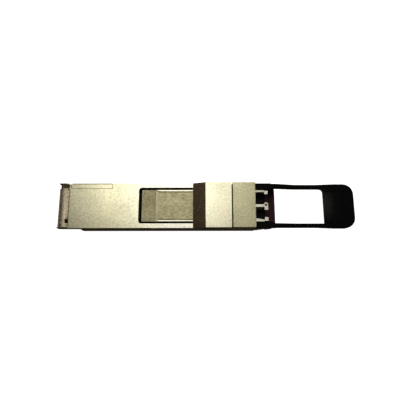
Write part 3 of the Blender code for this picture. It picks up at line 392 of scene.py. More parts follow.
def solder_mask(name):
    """Green mask over copper: straight traces show as slightly paler, raised lines."""
    mat, nodes, links, shader = new_material(name, (0.02, 0.13, 0.055), 0.35)
    coordinates = nodes.new("ShaderNodeTexCoord")
    traces = nodes.new("ShaderNodeTexBrick")
    traces.inputs["Scale"].default_value = 420.0
    traces.inputs["Mortar Size"].default_value = 0.035
    traces.inputs["Brick Width"].default_value = 4.5
    traces.inputs["Row Height"].default_value = 0.34
    traces.inputs["Color1"].default_value = (0.016, 0.11, 0.045, 1)
    traces.inputs["Color2"].default_value = (0.02, 0.13, 0.055, 1)
    traces.inputs["Mortar"].default_value = (0.04, 0.22, 0.09, 1)
    links.new(coordinates.outputs["Object"], traces.inputs["Vector"])
    links.new(traces.outputs["Color"], shader.inputs["Base Color"])
    add_bump(nodes, links, shader, traces.outputs["Fac"], 0.00002)
    return mat


def make_materials():
    """Every material of the module, by name."""
    casting = (0.72, 0.70, 0.53)
    pale_casting = (0.78, 0.775, 0.74)
    warm, pale, head = (0.923, 0.903, 0.716), (1.0, 1.0, 1.0), (0.935, 0.92, 0.80)
    # Stations in millimetres: cream at the electrical end, neutral beside the window, cream on the head
    tints = ((-38.0, warm), (-28.0, (0.94, 0.93, 0.80)), (-17.0, pale), (-6.0, pale), (-0.7, head),
             (9.9, (0.925, 0.905, 0.77)))
    cover = (0.70, 0.675, 0.475)
    bright = (1.0, 0.985, 0.90)
    steel = (0.56, 0.55, 0.53)
    return {
        "nickel_casting": cast_metal("nickel_casting", pale_casting, 0.30, 0.55, 0.45, tints),
        # the *_edge materials darken the rounded edges as painted shade
        "casting_edge": edge_with_painted_shade("casting_edge", casting),
        "lower_casting": cast_metal("lower_casting", scaled(casting, 0.66), 0.34, 0.5),
        "lower_edge": edge_with_painted_shade("lower_edge", scaled(casting, 0.66)),
        "nickel_cover": cast_metal("nickel_cover", scaled(cover, 0.88), 0.38, 0.6),
        "cover_edge": edge_with_painted_shade("cover_edge", cover),
        "nickel_receptacle": cast_metal("nickel_receptacle", bright, 0.4, 0.6),
        "receptacle_edge": edge_with_painted_shade("receptacle_edge", bright),
        "nickel_plate": cast_metal("nickel_plate", (0.41, 0.38, 0.245), 0.5, 0.9),
        # painted highlight on a band of the plate
        "plate_step_highlight": cast_metal("plate_step_highlight", (0.58, 0.55, 0.40), 0.48, 0.5),
        # painted highlight on the strips beside the label
        "plate_polished_highlight": brushed_metal("plate_polished_highlight", (0.86, 0.85, 0.70), 0.34, "X"),
        # painted shade in the grooves beside the label
        "plate_groove_shade": cast_metal("plate_groove_shade", (0.10, 0.085, 0.06), 0.45, 0.8),
        "plate_edge": edge_with_painted_shade("plate_edge", (0.72, 0.70, 0.6)),
        "spring_steel": brushed_metal("spring_steel", steel, 0.28, "X"),
        "turned_steel": brushed_metal("turned_steel", steel, 0.25, "Y"),
        "steel_edge": edge_with_painted_shade("steel_edge", steel),
        "pin_end": cast_metal("pin_end", (0.44, 0.37, 0.30), 0.42, 0.8),
        "black_plastic": moulded_plastic("black_plastic", (0.0019, 0.0018, 0.0020), 0.42, specular=0.06),
        # painted shade inside the ports and the dimple
        "port_shade_black": moulded_plastic("port_shade_black", (0.006, 0.004, 0.006), 0.5, specular=0.15),
        # painted shade on the slope up to the head
        "casting_ramp_shade": cast_metal("casting_ramp_shade", (0.46, 0.36, 0.24), 0.27, 1.0, 0.15),
        # painted shade on the curved lead-in
        "casting_lead_shade": cast_metal("casting_lead_shade", (0.56, 0.49, 0.39), 0.40, 1.3),
        # painted shade along the step, the key groove's line and its rim
        "casting_line_shade": cast_metal("casting_line_shade", (0.26, 0.23, 0.17), 0.40, 1.4),
        "tab_bar": moulded_plastic("tab_bar", (0.055, 0.016, 0.024), 0.5, specular=0.15),
        # painted highlight: the strap's ribs are a little paler than the tab
        "tab_rib_highlight": moulded_plastic("tab_rib_highlight", (0.0040, 0.0040, 0.0038), 0.40, specular=0.05),
        # painted sheen: a paler spot on the grip
        "tab_rest_sheen": plastic_with_painted_sheen("tab_rest_sheen", (0.0018, 0.0018, 0.0021), (0.027, 0.0275, 0.0285)),
        "solder": cast_metal("solder", (0.62, 0.62, 0.6), 0.35, 0.6),
        "socket_black": moulded_plastic("socket_black", (0.012, 0.012, 0.012), 0.6),
        "black_rubber": moulded_plastic("black_rubber", (0.004, 0.004, 0.004), 0.85, 2600.0, specular=0.1),
        "label_foil": label_film("label_foil", (0.56, 0.53, 0.345)),
        "board_laminate": solder_mask("board_laminate"),
        "gold_plating": gold_plate("gold_plating", (0.83, 0.6, 0.24)),
        "package_gold": gold_plate("package_gold", (0.78, 0.58, 0.28)),
        "chip_resin": moulded_plastic("chip_resin", (0.02, 0.02, 0.022), 0.55, 4200.0),
        "ferrite": moulded_plastic("ferrite", (0.1, 0.1, 0.11), 0.5),
        "ceramic": moulded_plastic("ceramic", (0.42, 0.3, 0.2), 0.5),
        "thermal_pad": moulded_plastic("thermal_pad", (0.42, 0.48, 0.6), 0.85, 1800.0),
        "polyimide": moulded_plastic("polyimide", (0.5, 0.22, 0.05), 0.4, 1500.0),
        "zirconia": moulded_plastic("zirconia", (0.85, 0.84, 0.8), 0.25, 900.0, 0.000002),
    }


# Shape helpers, in millimetres unless they take a CAD node

def link_mesh(name, bm):
    """Make an object from a bmesh in millimetres."""
    bmesh.ops.recalc_face_normals(bm, faces=bm.faces)
    bmesh.ops.scale(bm, vec=(MM, MM, MM), verts=bm.verts)
    mesh = bpy.data.meshes.new(name)
    bm.to_mesh(mesh)
    bm.free()
    obj = bpy.data.objects.new(name, mesh)
    bpy.context.scene.collection.objects.link(obj)
    return obj


def box_mesh(name, x, y, z):
    """A plain box between three pairs of stations."""
    bm = bmesh.new()
    bmesh.ops.create_cube(bm, size=1.0)
    bmesh.ops.scale(bm, vec=[pair[1] - pair[0] for pair in (x, y, z)], verts=bm.verts)
    bmesh.ops.translate(bm, vec=[sum(pair) / 2 for pair in (x, y, z)], verts=bm.verts)
    return link_mesh(name, bm)


def add_prism(bm, outline, z):
    """Extrude a plan outline between two heights into a bmesh."""
    face = bm.faces.new([bm.verts.new((x, y, z[0])) for x, y in outline])
    raised = bmesh.ops.extrude_face_region(bm, geom=[face])["geom"]
    moved = [item for item in raised if isinstance(item, bmesh.types.BMVert)]
    bmesh.ops.translate(bm, vec=(0, 0, z[1] - z[0]), verts=moved)


def arc(centre, radius, start, end, steps):
    """Points along an arc, from a start to an end heading in degrees."""
    points = []
    for step in range(steps + 1):
        angle = math.radians(start + (end - start) * step / steps)
        points.append((centre[0] + radius * math.cos(angle), centre[1] + radius * math.sin(angle)))
    return points


def rounded_rectangle(x, y, radius, steps=6):
    """The outline of a rectangle between two pairs of stations, with round corners."""
    points = arc((x[1] - radius, y[1] - radius), radius, 0, 90, steps)
    points += arc((x[0] + radius, y[1] - radius), radius, 90, 180, steps)
    points += arc((x[0] + radius, y[0] + radius), radius, 180, 270, steps)
    points += arc((x[1] - radius, y[0] + radius), radius, 270, 360, steps)
    return points


def lathe(name, profile, axis, centre, segments=48):
    """A turned piece: a closed or axis-to-axis profile of (radius, station) points in mm."""
    order = {"X": (1, 2, 0), "Y": (2, 0, 1), "Z": (0, 1, 2)}[axis]
    bm = bmesh.new()
    rings = []
    for radius, station in profile:
        ring = []
        count = segments if radius > 0 else 1
        for index in range(count):
            angle = 2 * math.pi * index / segments
            point = [0.0, 0.0, 0.0]
            point[order[0]] = centre[0] + radius * math.cos(angle)
            point[order[1]] = centre[1] + radius * math.sin(angle)
            point[order[2]] = station
            ring.append(bm.verts.new(point))
        rings.append(ring)
    closed = profile[0][0] > 0
    pairs = list(zip(rings, rings[1:] + rings[:1])) if closed else list(zip(rings, rings[1:]))
    for first, second in pairs:
        for index in range(segments):
            corners = [first[index % len(first)], first[(index + 1) % len(first)],
                       second[(index + 1) % len(second)], second[index % len(second)]]
            bm.faces.new(list(dict.fromkeys(corners)))
    return smooth(link_mesh(name, bm))


def join_rings(bm, rings):
    """Skin a row of equal rings of points and close both ends."""
    for first, second in zip(rings, rings[1:]):
        for index in range(len(first)):
            following = (index + 1) % len(first)
            bm.faces.new((first[index], first[following], second[following], second[index]))
    bm.faces.new(rings[0])
    bm.faces.new(rings[-1])


def smooth(obj, angle=35):
    """Shade smooth, but keep edges sharper than an angle in degrees."""
    obj.data.shade_smooth()
    obj.data.set_sharp_from_angle(angle=math.radians(angle))
    return obj


def apply_modifiers(obj):
    """Keep the evaluated shape as the object's own mesh."""
    graph = bpy.context.evaluated_depsgraph_get()
    mesh = bpy.data.meshes.new_from_object(obj.evaluated_get(graph))
    obj.modifiers.clear()
    obj.data = mesh
    return obj


def combine(obj, others, operation):
    """Boolean the others into obj and remove them."""
    for other in others:
        modifier = obj.modifiers.new("shape", "BOOLEAN")
        modifier.operation = operation
        modifier.solver = "EXACT"
        modifier.object = other
    bpy.context.view_layer.update()
    apply_modifiers(obj)
    for other in others:
        bpy.data.objects.remove(other)
    return obj


def clean_copy(node, name):
    """A copy of a CAD node's shape with its flat faces whole again, ready for finer work."""
    bm = bmesh.new()
    bm.from_mesh(NODES[node].data)
    bmesh.ops.remove_doubles(bm, verts=bm.verts, dist=0.000002)
    bmesh.ops.dissolve_limit(bm, angle_limit=math.radians(0.5), verts=bm.verts, edges=bm.edges)
    mesh = bpy.data.meshes.new(name)
    bm.to_mesh(mesh)
    bm.free()
    obj = bpy.data.objects.new(name, mesh)
    bpy.context.scene.collection.objects.link(obj)
    return obj


def round_edges(obj, width, segments=3, edge_slot=None):
    """Round the sharp edges; edge_slot is the material slot that the rounded strips take."""
    modifier = obj.modifiers.new("edges", "BEVEL")
    modifier.width = width * MM
    modifier.segments = segments
    modifier.limit_method = "ANGLE"
    modifier.angle_limit = math.radians(ROUNDED_ANGLE)
    modifier.harden_normals = True
    modifier.miter_outer = "MITER_ARC"
    if edge_slot is not None:
        modifier.material = edge_slot
    return apply_modifiers(obj)


def coat(obj, *names):
    """Give a piece its materials; every face starts with the first."""
    obj.data.materials.clear()
    for name in names:
        obj.data.materials.append(MATERIALS[name])


def place(obj, body, node, slot):
    """Give a piece its body and hide the node it stands for; slot is not used."""
    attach(obj, body)
    if node:
        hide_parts(node)
    return obj


def split_faces(obj, cuts):
    """Divide the faces of a mesh along planes, given as (axis, station in millimetres)."""
    bm = bmesh.new()
    bm.from_mesh(obj.data)
    for axis, station in cuts:
        point, normal = Vector((0, 0, 0)), Vector((0, 0, 0))
        point["XYZ".index(axis)] = station * MM
        normal["XYZ".index(axis)] = 1.0
        bmesh.ops.bisect_plane(bm, geom=bm.verts[:] + bm.edges[:] + bm.faces[:], plane_co=point,
                               plane_no=normal, dist=0.000001)
    bm.to_mesh(obj.data)
    bm.free()


def refine(node, name, width, slot, edge, body="housing", cuts=()):
    """The common case: a CAD shape with rounded edges in their own edge material, which for the castings
    is darkened as painted shade.
    """
    obj = clean_copy(node, name)
    split_faces(obj, cuts)
    coat(obj, slot, edge)
    round_edges(obj, width, edge_slot=1)
    return place(obj, body, node, slot)


# Pieces

def make_housing():
    """The castings, the receptacle, the window's plate, the port shield and both gaskets."""
    make_top_shell()
    make_bottom_shell()
    refine("head_cover", "head_cover_casting", 0.12, "nickel_cover", "cover_edge")
    receptacle = refine("lc_receptacle", "receptacle_block", 0.12, "nickel_receptacle", "receptacle_edge")
    # painted shade inside the ports and the dimple
    paint_faces(receptacle, "port_shade_black", in_port_shade)
    make_dimple_pin()
    make_spreader()
    refine("port_shield", "port_shield_plate", 0.05, "spring_steel", "steel_edge")
    for node in ("window_gasket", "seam_gasket"):
        gasket = clean_copy(node, f"{node}_ring")
        coat(gasket, "black_rubber")
        round_edges(gasket, 0.1)
        place(gasket, "housing", node, "black_rubber")


def make_top_shell():
    """The upper casting, with painted shade on the ramp, the lead-in and the fine lines."""
    shell = refine("top_shell", "top_shell_casting", 0.09, "nickel_casting", "casting_edge",
                   cuts=(("X", STEP_X[0]), ("X", STEP_X[1]), ("Y", STEP_END_Y), ("Y", RIM_Y)))
    paint_faces(shell, "casting_ramp_shade", on_shaded_ramp)
    paint_faces(shell, "casting_lead_shade", on_shaded_lead_in)
    paint_faces(shell, "casting_line_shade", in_shaded_lines)


def make_bottom_shell():
    """The lower casting, with a shallow panel and round ejector marks on its underside."""
    panel_x, panel_y, panel_corner, panel_depth = (-25.0, 3.0), (-6.4, 6.4), 0.8, 0.12
    marks = ((-48.5, 0.0), (-38.5, 0.0), (-28.0, 0.0), (11.4, 5.2), (11.4, -5.2))
    mark_radius, mark_depth, below = 1.0, 0.08, -1.0
    shell = clean_copy("bottom_shell", "bottom_shell_casting")
    bm = bmesh.new()
    add_prism(bm, rounded_rectangle(panel_x, panel_y, panel_corner), (below, panel_depth))
    cutters = [link_mesh("panel", bm)]
    profile = [(0.0, below), (mark_radius, below), (mark_radius, mark_depth), (0.0, mark_depth)]
    for mark in marks:
        cutters.append(lathe("mark", profile, "Z", mark, 28))
    combine(shell, cutters, "DIFFERENCE")
    coat(shell, "lower_casting", "lower_edge")
    round_edges(shell, 0.1, edge_slot=1)
    place(shell, "housing", "bottom_shell", "nickel_casting")


def paint_faces(obj, material, wanted):
    """Give another material to the faces whose centre, in millimetres, and normal pass a test."""
    obj.data.materials.append(MATERIALS[material])
    slot = len(obj.data.materials) - 1
    for face in obj.data.polygons:
        if wanted(face.center / MM, face.normal):
            face.material_index = slot


def in_port_shade(centre, _):
    """Painted shade: the inside walls of both ports and the dimple are black; the outer faces stay bright.
    """
    x, y, z = centre
    depth = NOSE_TOP - z
    prong_half, ports_half, floor_top, lip_top, bright_tip = 0.8, 5.6, 1.2, 2.0, 0.25
    dimple_x, dimple_y, dimple_reach, dimple_floor = NOSE_HIGH.x - 0.85, 0.3, 0.62, 0.75
    inner = (NOSE_LOW.x < x < NOSE_HIGH.x - bright_tip and prong_half < abs(y) < ports_half
             and z > floor_top and depth > 0.15)
    lip = x > HEAD_FRONT and abs(y) < ports_half and z < lip_top
    dimple = (abs(x - dimple_x) < dimple_reach and abs(y - dimple_y) < dimple_reach
              and 0.1 < depth < dimple_floor)
    return inner or lip or dimple


def make_dimple_pin():
    """The peened end of a pin in the middle prong's dimple, off centre so that a crescent shows."""
    centre = (NOSE_HIGH.x - 0.88, 0.07)
    top, foot = NOSE_TOP - 0.06, NOSE_TOP - 0.76
    profile = [(0.0, top), (0.28, top - 0.01), (0.36, top - 0.05), (0.4, top - 0.12), (0.4, foot),
               (0.0, foot)]
    pin = lathe("dimple_pin", profile, "Z", centre, 28)
    coat(pin, "pin_end")
    place(pin, "housing", None, "spring_steel")


def on_shaded_ramp(centre, normal):
    """The slope up to the head, above the body's top, painted a darker, browner casting as shade."""
    return RAMP_FOOT < centre.x < RAMP_TOP and normal.x < -FACING and centre.z > BODY_TOP


def on_shaded_lead_in(centre, normal):
    """The curved lead-in at the electrical end has a rougher skin, painted darker and browner as shade."""
    lowest, side_wall = 7.0, 8.9
    return (centre.x < STEP_X[0] and centre.z > lowest and normal.z > FACING
            and abs(centre.y) < side_wall)


def in_shaded_lines(centre, normal):
    """Painted shade: the step in front of the lead-in, the line around the key groove and the rim on its
    floor.
    """
    step_low, line_z, groove_floor_z = 7.6, (7.7, 8.18), (8.1, 8.3)
    step = (STEP_X[0] < centre.x < STEP_X[1] and centre.z > step_low and normal.z > FACING
            and centre.y < STEP_END_Y)
    beside_key = KEY_X[0] < centre.x < KEY_X[1]
    line = beside_key and centre.y > KEY_INNER_Y and line_z[0] < centre.z < line_z[1]
    rim = beside_key and centre.y > RIM_Y and groove_floor_z[0] < centre.z < groove_floor_z[1]
    return step or line or rim


def on_bar(centre, _):
    """The low cross bar in front of the receptacle."""
    bar_half, bar_top = 7.2, 1.0
    return centre.x > NOSE_HIGH.x and abs(centre.y) < bar_half and centre.z < bar_top


def make_label():
    """A thin blank film with round corners and a softened edge."""
    x, y, z = zip(LABEL_LOW, LABEL_HIGH)
    bm = bmesh.new()
    add_prism(bm, rounded_rectangle((x[0] + LABEL_START, x[1]), y, 0.5), z)
    film = link_mesh("label_film", bm)
    coat(film, "label_foil")
    round_edges(film, 0.03, 2)
    place(film, "housing", "blank_label", "label_foil")


def make_spreader():
    """The plate in the window: strips beside the label painted bright as a highlight, dark grooves
    between, and a paler band, also a painted highlight.
    """
    strip_y, strip_x, film_y = 5.85, LABEL_LOW.x + LABEL_START - 0.05, LABEL_HIGH.y
    strip_z, groove_z, band_z = PLATE_TOP - 0.02, 7.5, 7.86

    def on_strip(centre, _):
        return centre.z > strip_z and abs(centre.y) > strip_y and centre.x > strip_x

    def in_shaded_groove(centre, _):
        return centre.z > groove_z and film_y < abs(centre.y) < strip_y and centre.x > strip_x

    def on_step_highlight(centre, _):
        return centre.z > band_z and centre.x < strip_x

    plate = clean_copy("heat_spreader", "spreader_plate")
    split_faces(plate, (("Y", strip_y), ("Y", -strip_y), ("Y", film_y), ("Y", -film_y), ("X", strip_x)))
    coat(plate, "nickel_plate", "plate_edge")
    round_edges(plate, 0.08, edge_slot=1)
    # painted highlight on the strips and the band
    paint_faces(plate, "plate_polished_highlight", on_strip)
    # painted shade in the grooves beside the label
    paint_faces(plate, "plate_groove_shade", in_shaded_groove)
    paint_faces(plate, "plate_step_highlight", on_step_highlight)
    place(plate, "housing", "heat_spreader", "nickel_plate")


def make_release():
    """What the pull moves: the slider, the tab with its ribs and the rivets; the return springs are made
    here too but not attached to it.
    """
    refine("latch_slider", "latch_yoke", 0.07, "spring_steel", "steel_edge", body="release")
    make_tab()
    make_bar_ribs()
    make_strap_ribs()
    for side_name, side in SIDES:
        make_rivet(f"tab_rivet_{side_name}", side)
        make_spring(f"return_spring_{side_name}")


def make_tab():
    """The moulded tab: a scooped thumb rest, a shallow panel below it and two ejector marks."""
    tab = clean_copy("pull_tab", "pull_tab_moulding")
    under_panel = bmesh.new()
    add_prism(under_panel, rounded_rectangle((GRIP_X + 1.3, GRIP_X + 9.8), (-6.2, 6.2), 1.6), (4.0, 5.5))
    cutters = [scoop_cutter(), link_mesh("under_panel", under_panel)]
    mark_floor, mark_top = TAB_TOP - 0.16, TAB_TOP + 0.5
    profile = [(0.0, mark_floor), (0.42, mark_floor), (0.5, mark_top), (0.0, mark_top)]
    for mark in ((GRIP_X + 1.75, 6.75), (GRIP_X + 0.9, -6.75)):
        cutters.append(lathe("mark", profile, "Z", mark, 20))
    combine(tab, cutters, "DIFFERENCE")
    coat(tab, "black_plastic")
    round_edges(tab, 0.28)
    place(tab, "release", "pull_tab", "black_plastic")
    paint_faces(tab, "tab_bar", on_bar)
    # painted sheen: a paler spot on the grip
    paint_faces(tab, "tab_rest_sheen", lambda centre, _: centre.x > GRIP_X - 0.5)


def scoop_cutter():
    """What is taken out of the grip's top: deepest toward the module, level at the other end."""
    start, reach, depth, half_width, steps = GRIP_X + 0.6, 7.0, 0.75, 6.1, 10
    above = TAB_TOP + 1
    profile = [(start + reach * step / steps, TAB_TOP - depth * (1 - step / steps) ** 2)
               for step in range(steps + 1)]
    profile += [(start + reach, above), (start, above)]
    bm = bmesh.new()
    add_prism(bm, profile, (-half_width, half_width))
    bmesh.ops.rotate(bm, matrix=Matrix.Rotation(math.pi / 2, 3, "X"), verts=bm.verts)
    return link_mesh("scoop", bm)


def make_bar_ribs():
    """Two low ribs along the cross bar."""
    half_width, rib_y, rib_z = 0.16, (-6.3, 6.3), (0.9, 1.06)
    layers = []
    for x in (NOSE_HIGH.x + 1.75, NOSE_HIGH.x + 2.95):
        layers.append(((x - half_width, x + half_width), rib_y, rib_z, 0.15, "tab_bar"))
    layered("tab_bar_ribs", layers, 0.05, "release", None, "black_plastic")


def strap_top(x):
    """Height of the strap's upper face, which bends down from the root to the grip."""
    along = min(max((x - STRAP_BEND[0]) / (STRAP_BEND[1] - STRAP_BEND[0]), 0.0), 1.0)
    return TAB_TOP + STRAP_RISE * (1 - along * along * (3 - 2 * along))


def make_strap_ribs():
    """A low rounded stiffening rib along each arm of the strap, tapered at its two ends."""
    rib_y, half_width, rise, sunk, end_scale, steps = 8.02, 0.3, 0.13, 0.03, 0.35, 24
    start, length = STRAP_BEND[0] + 1.0, GRIP_X - STRAP_BEND[0] + 0.5
    for side_name, side in SIDES:
        bm = bmesh.new()
        rings = []
        for step in range(steps + 1):
            x = start + length * step / steps
            scale = end_scale if step in (0, steps) else 1.0
            ring = []
            for angle in range(0, 181, 30):
                across = half_width * math.cos(math.radians(angle)) * scale
                up = rise * math.sin(math.radians(angle)) * scale
                ring.append(bm.verts.new((x, side * rib_y + across, strap_top(x) - sunk + up)))
            rings.append(ring)
        join_rings(bm, rings)
        rib = smooth(link_mesh(f"strap_rib_{side_name}", bm), 60)
        # painted highlight: the ribs are a little paler than the tab
        coat(rib, "tab_rib_highlight")
        place(rib, "release", None, "black_plastic")


def make_rivet(node, side):
    """A domed head with a dimpled centre on a plain shank."""
    low, high = box_of(node)
    centre = ((low.z + high.z) / 2, (low.x + high.x) / 2)
    outer, inner = (high.y, low.y) if side > 0 else (low.y, high.y)
    profile = [(0.0, outer - 0.05 * side), (0.24, outer - 0.04 * side), (0.3, outer), (0.5, outer),
               (0.68, outer - 0.03 * side), (0.78, outer - 0.08 * side), (0.8, outer - 0.14 * side),
               (0.8, outer - 0.2 * side), (0.45, outer - 0.2 * side), (0.45, inner + 0.12 * side),
               (0.36, inner), (0.0, inner)]
    rivet = lathe(f"{node}_turned", profile, "Y", centre, 40)
    coat(rivet, "turned_steel")
    place(rivet, "release", node, "spring_steel")


def make_spring(node):
    """A compression spring with closed end coils, squeezed between its pocket and the slider's lug."""
    low, high = box_of(node)
    middle = Vector((0, *centre_line(node)))
    wire, turns, per_turn, around = 0.13, 8, 28, 8
    radius = (high.z - low.z) / 2 - wire
    count = turns * per_turn
    closed = 2.1 * wire
    pitch = (high.x - low.x - 2 * wire - 2 * closed) / (turns - 2)
    bm = bmesh.new()
    rings, x = [], low.x + wire
    for step in range(count + 1):
        angle = 2 * math.pi * step / per_turn
        radial = Vector((0, math.cos(angle), math.sin(angle)))
        centre = middle + radial * radius + Vector((x, 0, 0))
        ring = []
        for index in range(around):
            turn = 2 * math.pi * index / around
            offset = (radial * math.cos(turn) + Vector((1, 0, 0)) * math.sin(turn)) * wire
            ring.append(bm.verts.new(centre + offset))
        rings.append(ring)
        end_coil = step < per_turn or step >= count - per_turn
        x += (closed if end_coil else pitch) / per_turn
    join_rings(bm, rings)
    spring = smooth(link_mesh(f"{node}_coil", bm), 50)
    coat(spring, "turned_steel")
    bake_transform(spring)
    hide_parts(node)


# Inner pieces

def layered(name, layers, rounding, body, node, slot):
    """One mesh of stacked rounded slabs; each layer is (x, y, z, corner radius, material)."""
    bm = bmesh.new()
    mats = []
    for x, y, z, radius, mat in layers:
        before = set(bm.faces)
        add_prism(bm, rounded_rectangle(x, y, radius, 4), z)
        if mat not in mats:
            mats.append(mat)
        for face in bm.faces:
            if face not in before:
                face.material_index = mats.index(mat)
    obj = link_mesh(name, bm)
    for mat in mats:
        obj.data.materials.append(MATERIALS[mat])
    round_edges(obj, rounding, 2)
    return place(obj, body, node, slot)


def six_lobes(centre, head, steps=36):
    """The outline of a six-lobed socket in a head of a given radius."""
    outline = []
    for step in range(steps):
        angle = 2 * math.pi * step / steps
        reach = head * (0.5 + 0.08 * math.cos(6 * angle))
        outline.append((centre[0] + reach * math.cos(angle), centre[1] + reach * math.sin(angle)))
    return outline


def make_screws():
    """Flat heads that face down, each with a six-lobed socket, and threaded shanks."""
    # Radius of the head and of the shank, height of the head's seat, and pitch of the thread
    sizes = {"housing_screw": (1.4, 0.8, 0.85, 0.35), "head_screw": (0.9, 0.55, 0.6, 0.25)}
    for node in list(NODES):
        kind = node.rsplit("_", 1)[0]
        if kind not in sizes:
            continue
        head, shank, seat, pitch = sizes[kind]
        low, high = box_of(node)
        centre = ((low.x + high.x) / 2, (low.y + high.y) / 2)
        profile = [(0.0, low.z), (head - 0.12, low.z), (head, low.z + 0.1), (head, seat - 0.05),
                   (head - 0.05, seat), (shank, seat)]
        station, thread_end, thread_depth = seat + 0.7, high.z - 0.5, 0.11
        while station < thread_end:
            profile += [(shank, station), (shank - thread_depth, station + pitch * 0.45),
                        (shank, station + pitch * 0.9)]
            station += pitch
        profile += [(shank, high.z - 0.25), (shank - 0.2, high.z), (0.0, high.z)]
        screw = lathe(f"{node}_turned", profile, "Z", centre, 36)
        bm = bmesh.new()
        add_prism(bm, six_lobes(centre, head), (low.z - 0.5, low.z + (seat - low.z) * 0.55))
        combine(screw, [link_mesh("socket", bm)], "DIFFERENCE")
        coat(screw, "turned_steel")
        socket_z, reach = (low.z + 0.02, seat - 0.1), head * 0.6
        paint_faces(screw, "socket_black",
                    lambda point, _: socket_z[0] < point.z < socket_z[1]
                    and math.hypot(point.x - centre[0], point.y - centre[1]) < reach)
        place(smooth(screw), "housing", node, "spring_steel")


def make_contacts():
    """Round-cornered pads in each row, every third one set back, with the plating bar behind them."""
    pads, pitch, half_width, set_back, overlap = 19, 0.8, 0.27, 0.35, 0.05
    for node in ("edge_contacts_top", "edge_contacts_bottom"):
        low, high = box_of(node)
        bar = (high.x - 0.25, high.x)
        pad_z = (low.z, high.z - 0.005)
        layers = [(bar, (low.y, high.y), (low.z, high.z), 0.08, "gold_plating")]
        for index in range(pads):
            y = low.y + half_width + pitch * index
            start = low.x + (set_back if index % 3 == 1 else 0.0)
            layers.append(((start, bar[0] + overlap), (y - half_width, y + half_width), pad_z, 0.12,
                           "gold_plating"))
        layered(f"{node}_pads", layers, 0.015, "housing", node, "gold_plating")


def make_board_parts():
    """The circuit board and what is soldered to it."""
    make_chips()
    make_inductors()
    make_capacitors()
    refine("circuit_board", "board_panel", 0.05, "board_laminate", "board_laminate")


def make_chips():
    """Chip packages: a substrate, a moulded body on it and a round mark near one corner."""
    substrate, body_base, inset, mark_start, mark_end = 0.22, 0.2, 0.15, 0.45, 0.85
    for node in ("transmit_retimer", "receive_retimer", "laser_driver", "microcontroller"):
        x, y, z = zip(*box_of(node))
        body_x, body_y = (x[0] + inset, x[1] - inset), (y[0] + inset, y[1] - inset)
        mark_x, mark_y = (x[0] + mark_start, x[0] + mark_end), (y[1] - mark_end, y[1] - mark_start)
        layers = [(x, y, (z[0], z[0] + substrate), 0.08, "board_laminate"),
                  (body_x, body_y, (z[0] + body_base, z[1]), 0.2, "chip_resin"),
                  (mark_x, mark_y, (z[1] - 0.1, z[1]), 0.18, "ferrite")]
        layered(f"{node}_package", layers, 0.03, "housing", node, "chip_resin")


def make_inductors():
    """Power inductors: a ferrite block over a terminal at each end."""
    terminal, height, inset, gap = 0.6, 0.45, 0.3, 0.08
    for node in ("power_inductor_1", "power_inductor_2"):
        x, y, z = zip(*box_of(node))
        terminal_y, terminal_z = (y[0] + inset, y[1] - inset), (z[0], z[0] + height)
        layers = [((x[0] + gap, x[1] - gap), y, (z[0] + gap, z[1]), 0.3, "ferrite"),
                  ((x[0], x[0] + terminal), terminal_y, terminal_z, 0.05, "solder"),
                  ((x[1] - terminal, x[1]), terminal_y, terminal_z, 0.05, "solder")]
        layered(f"{node}_choke", layers, 0.05, "housing", node, "ferrite")


def make_capacitors():
    """Ceramic capacitors, slightly slimmer than their metal end caps."""
    cap, slimmer, body_start = 0.26, 0.02, 0.2
    for number in range(1, 5):
        node = f"capacitor_{number}"
        x, y, z = zip(*box_of(node))
        body_y, body_z = (y[0] + slimmer, y[1] - slimmer), (z[0] + slimmer, z[1] - slimmer)
        layers = [((x[0] + body_start, x[1] - body_start), body_y, body_z, 0.03, "ceramic"),
                  ((x[0], x[0] + cap), y, z, 0.06, "solder"),
                  ((x[1] - cap, x[1]), y, z, 0.06, "solder")]
        layered(f"{node}_chip", layers, 0.02, "housing", node, "ceramic")


def make_optics():
    """Both optical assemblies, from the package to the flexible circuit."""
    for kind in ("transmitter", "receiver"):
        make_package(kind)
        make_barrel(kind)
        make_sleeve(kind)
        make_fibre_stub(kind)
        refine(f"{kind}_flex", f"{kind}_flex_circuit", 0.02, "polyimide", "polyimide")


def make_package(kind):
    """A gold package with a raised lid."""
    x, y, z = zip(*box_of(f"{kind}_package"))
    margin = 0.35
    lid_x, lid_y = (x[0] + margin, x[1] - margin), (y[0] + margin, y[1] - margin)
    layers = [(x, y, (z[0], z[1] - 0.25), 0.45, "package_gold"),
              (lid_x, lid_y, (z[1] - 0.3, z[1]), 0.35, "package_gold")]
    layered(f"{kind}_case", layers, 0.08, "housing", f"{kind}_package", "package_gold")


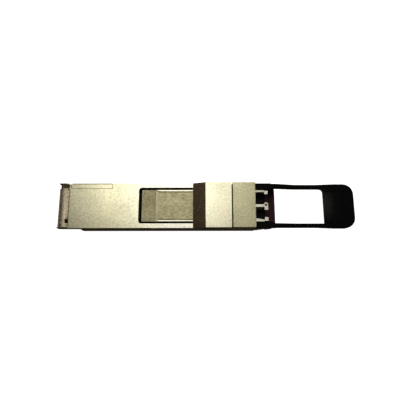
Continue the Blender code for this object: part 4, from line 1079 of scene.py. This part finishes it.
def make_barrel(kind):
    """A turned and bored barrel with a flange at the back and a groove in the middle."""
    low, high = box_of(f"{kind}_barrel")
    back, tip = low.x, high.x
    profile = [(1.37, tip), (1.47, tip - 0.1), (1.47, back + 4.4), (1.4, back + 4.33),
               (1.4, back + 4.0), (1.47, back + 3.93), (1.47, back + 1.35), (1.52, back + 1.3),
               (2.2, back + 1.3), (2.3, back + 1.2), (2.3, back + 0.1), (2.2, back), (0.5, back),
               (0.5, back + 2.0), (0.95, back + 2.0), (0.95, tip - 0.15), (1.1, tip)]
    barrel = lathe(f"{kind}_barrel_turned", profile, "X", centre_line(f"{kind}_barrel"), 56)
    coat(barrel, "turned_steel")
    place(barrel, "housing", f"{kind}_barrel", "spring_steel")


def make_sleeve(kind):
    """A thin ceramic sleeve, slit along its upper side."""
    low, high = box_of(f"{kind}_sleeve")
    profile = [(0.81, high.x), (0.85, high.x - 0.06), (0.85, low.x + 0.06), (0.81, low.x),
               (0.74, low.x), (0.72, low.x + 0.05), (0.72, high.x - 0.05), (0.74, high.x)]
    centre = centre_line(f"{kind}_barrel")
    sleeve = lathe(f"{kind}_split_sleeve", profile, "X", centre)
    slit = box_mesh("slit", (low.x - 1, high.x + 1), (centre[0] - 0.09, centre[0] + 0.09),
                    (centre[1] + 0.5, centre[1] + 1.2))
    combine(sleeve, [slit], "DIFFERENCE")
    coat(sleeve, "zirconia")
    place(smooth(sleeve), "housing", f"{kind}_sleeve", "zirconia")


def make_fibre_stub(kind):
    """A polished fibre stub with a rounded end."""
    low, high = box_of(f"{kind}_fibre_stub")
    profile = [(0.0, low.x), (0.55, low.x), (0.62, low.x + 0.08), (0.62, high.x - 0.18),
               (0.5, high.x - 0.04), (0.3, high.x - 0.01), (0.0, high.x)]
    stub = lathe(f"{kind}_ferrule", profile, "X", centre_line(f"{kind}_barrel"), 40)
    coat(stub, "zirconia")
    place(stub, "housing", f"{kind}_fibre_stub", "zirconia")


def make_pads():
    """The thermal pads, as soft sheets with round edges."""
    for node in ("spreader_thermal_pad", "transmitter_thermal_pad", "receiver_thermal_pad"):
        refine(node, f"{node}_sheet", 0.12, "thermal_pad", "thermal_pad")


def make_stage():
    """Everything around the module."""
    add_camera()
    add_floor()
    add_lights()
    set_world()


MATERIALS = make_materials()
make_stage()
make_housing()
make_label()
make_release()
make_screws()
make_contacts()
make_board_parts()
make_optics()
make_pads()
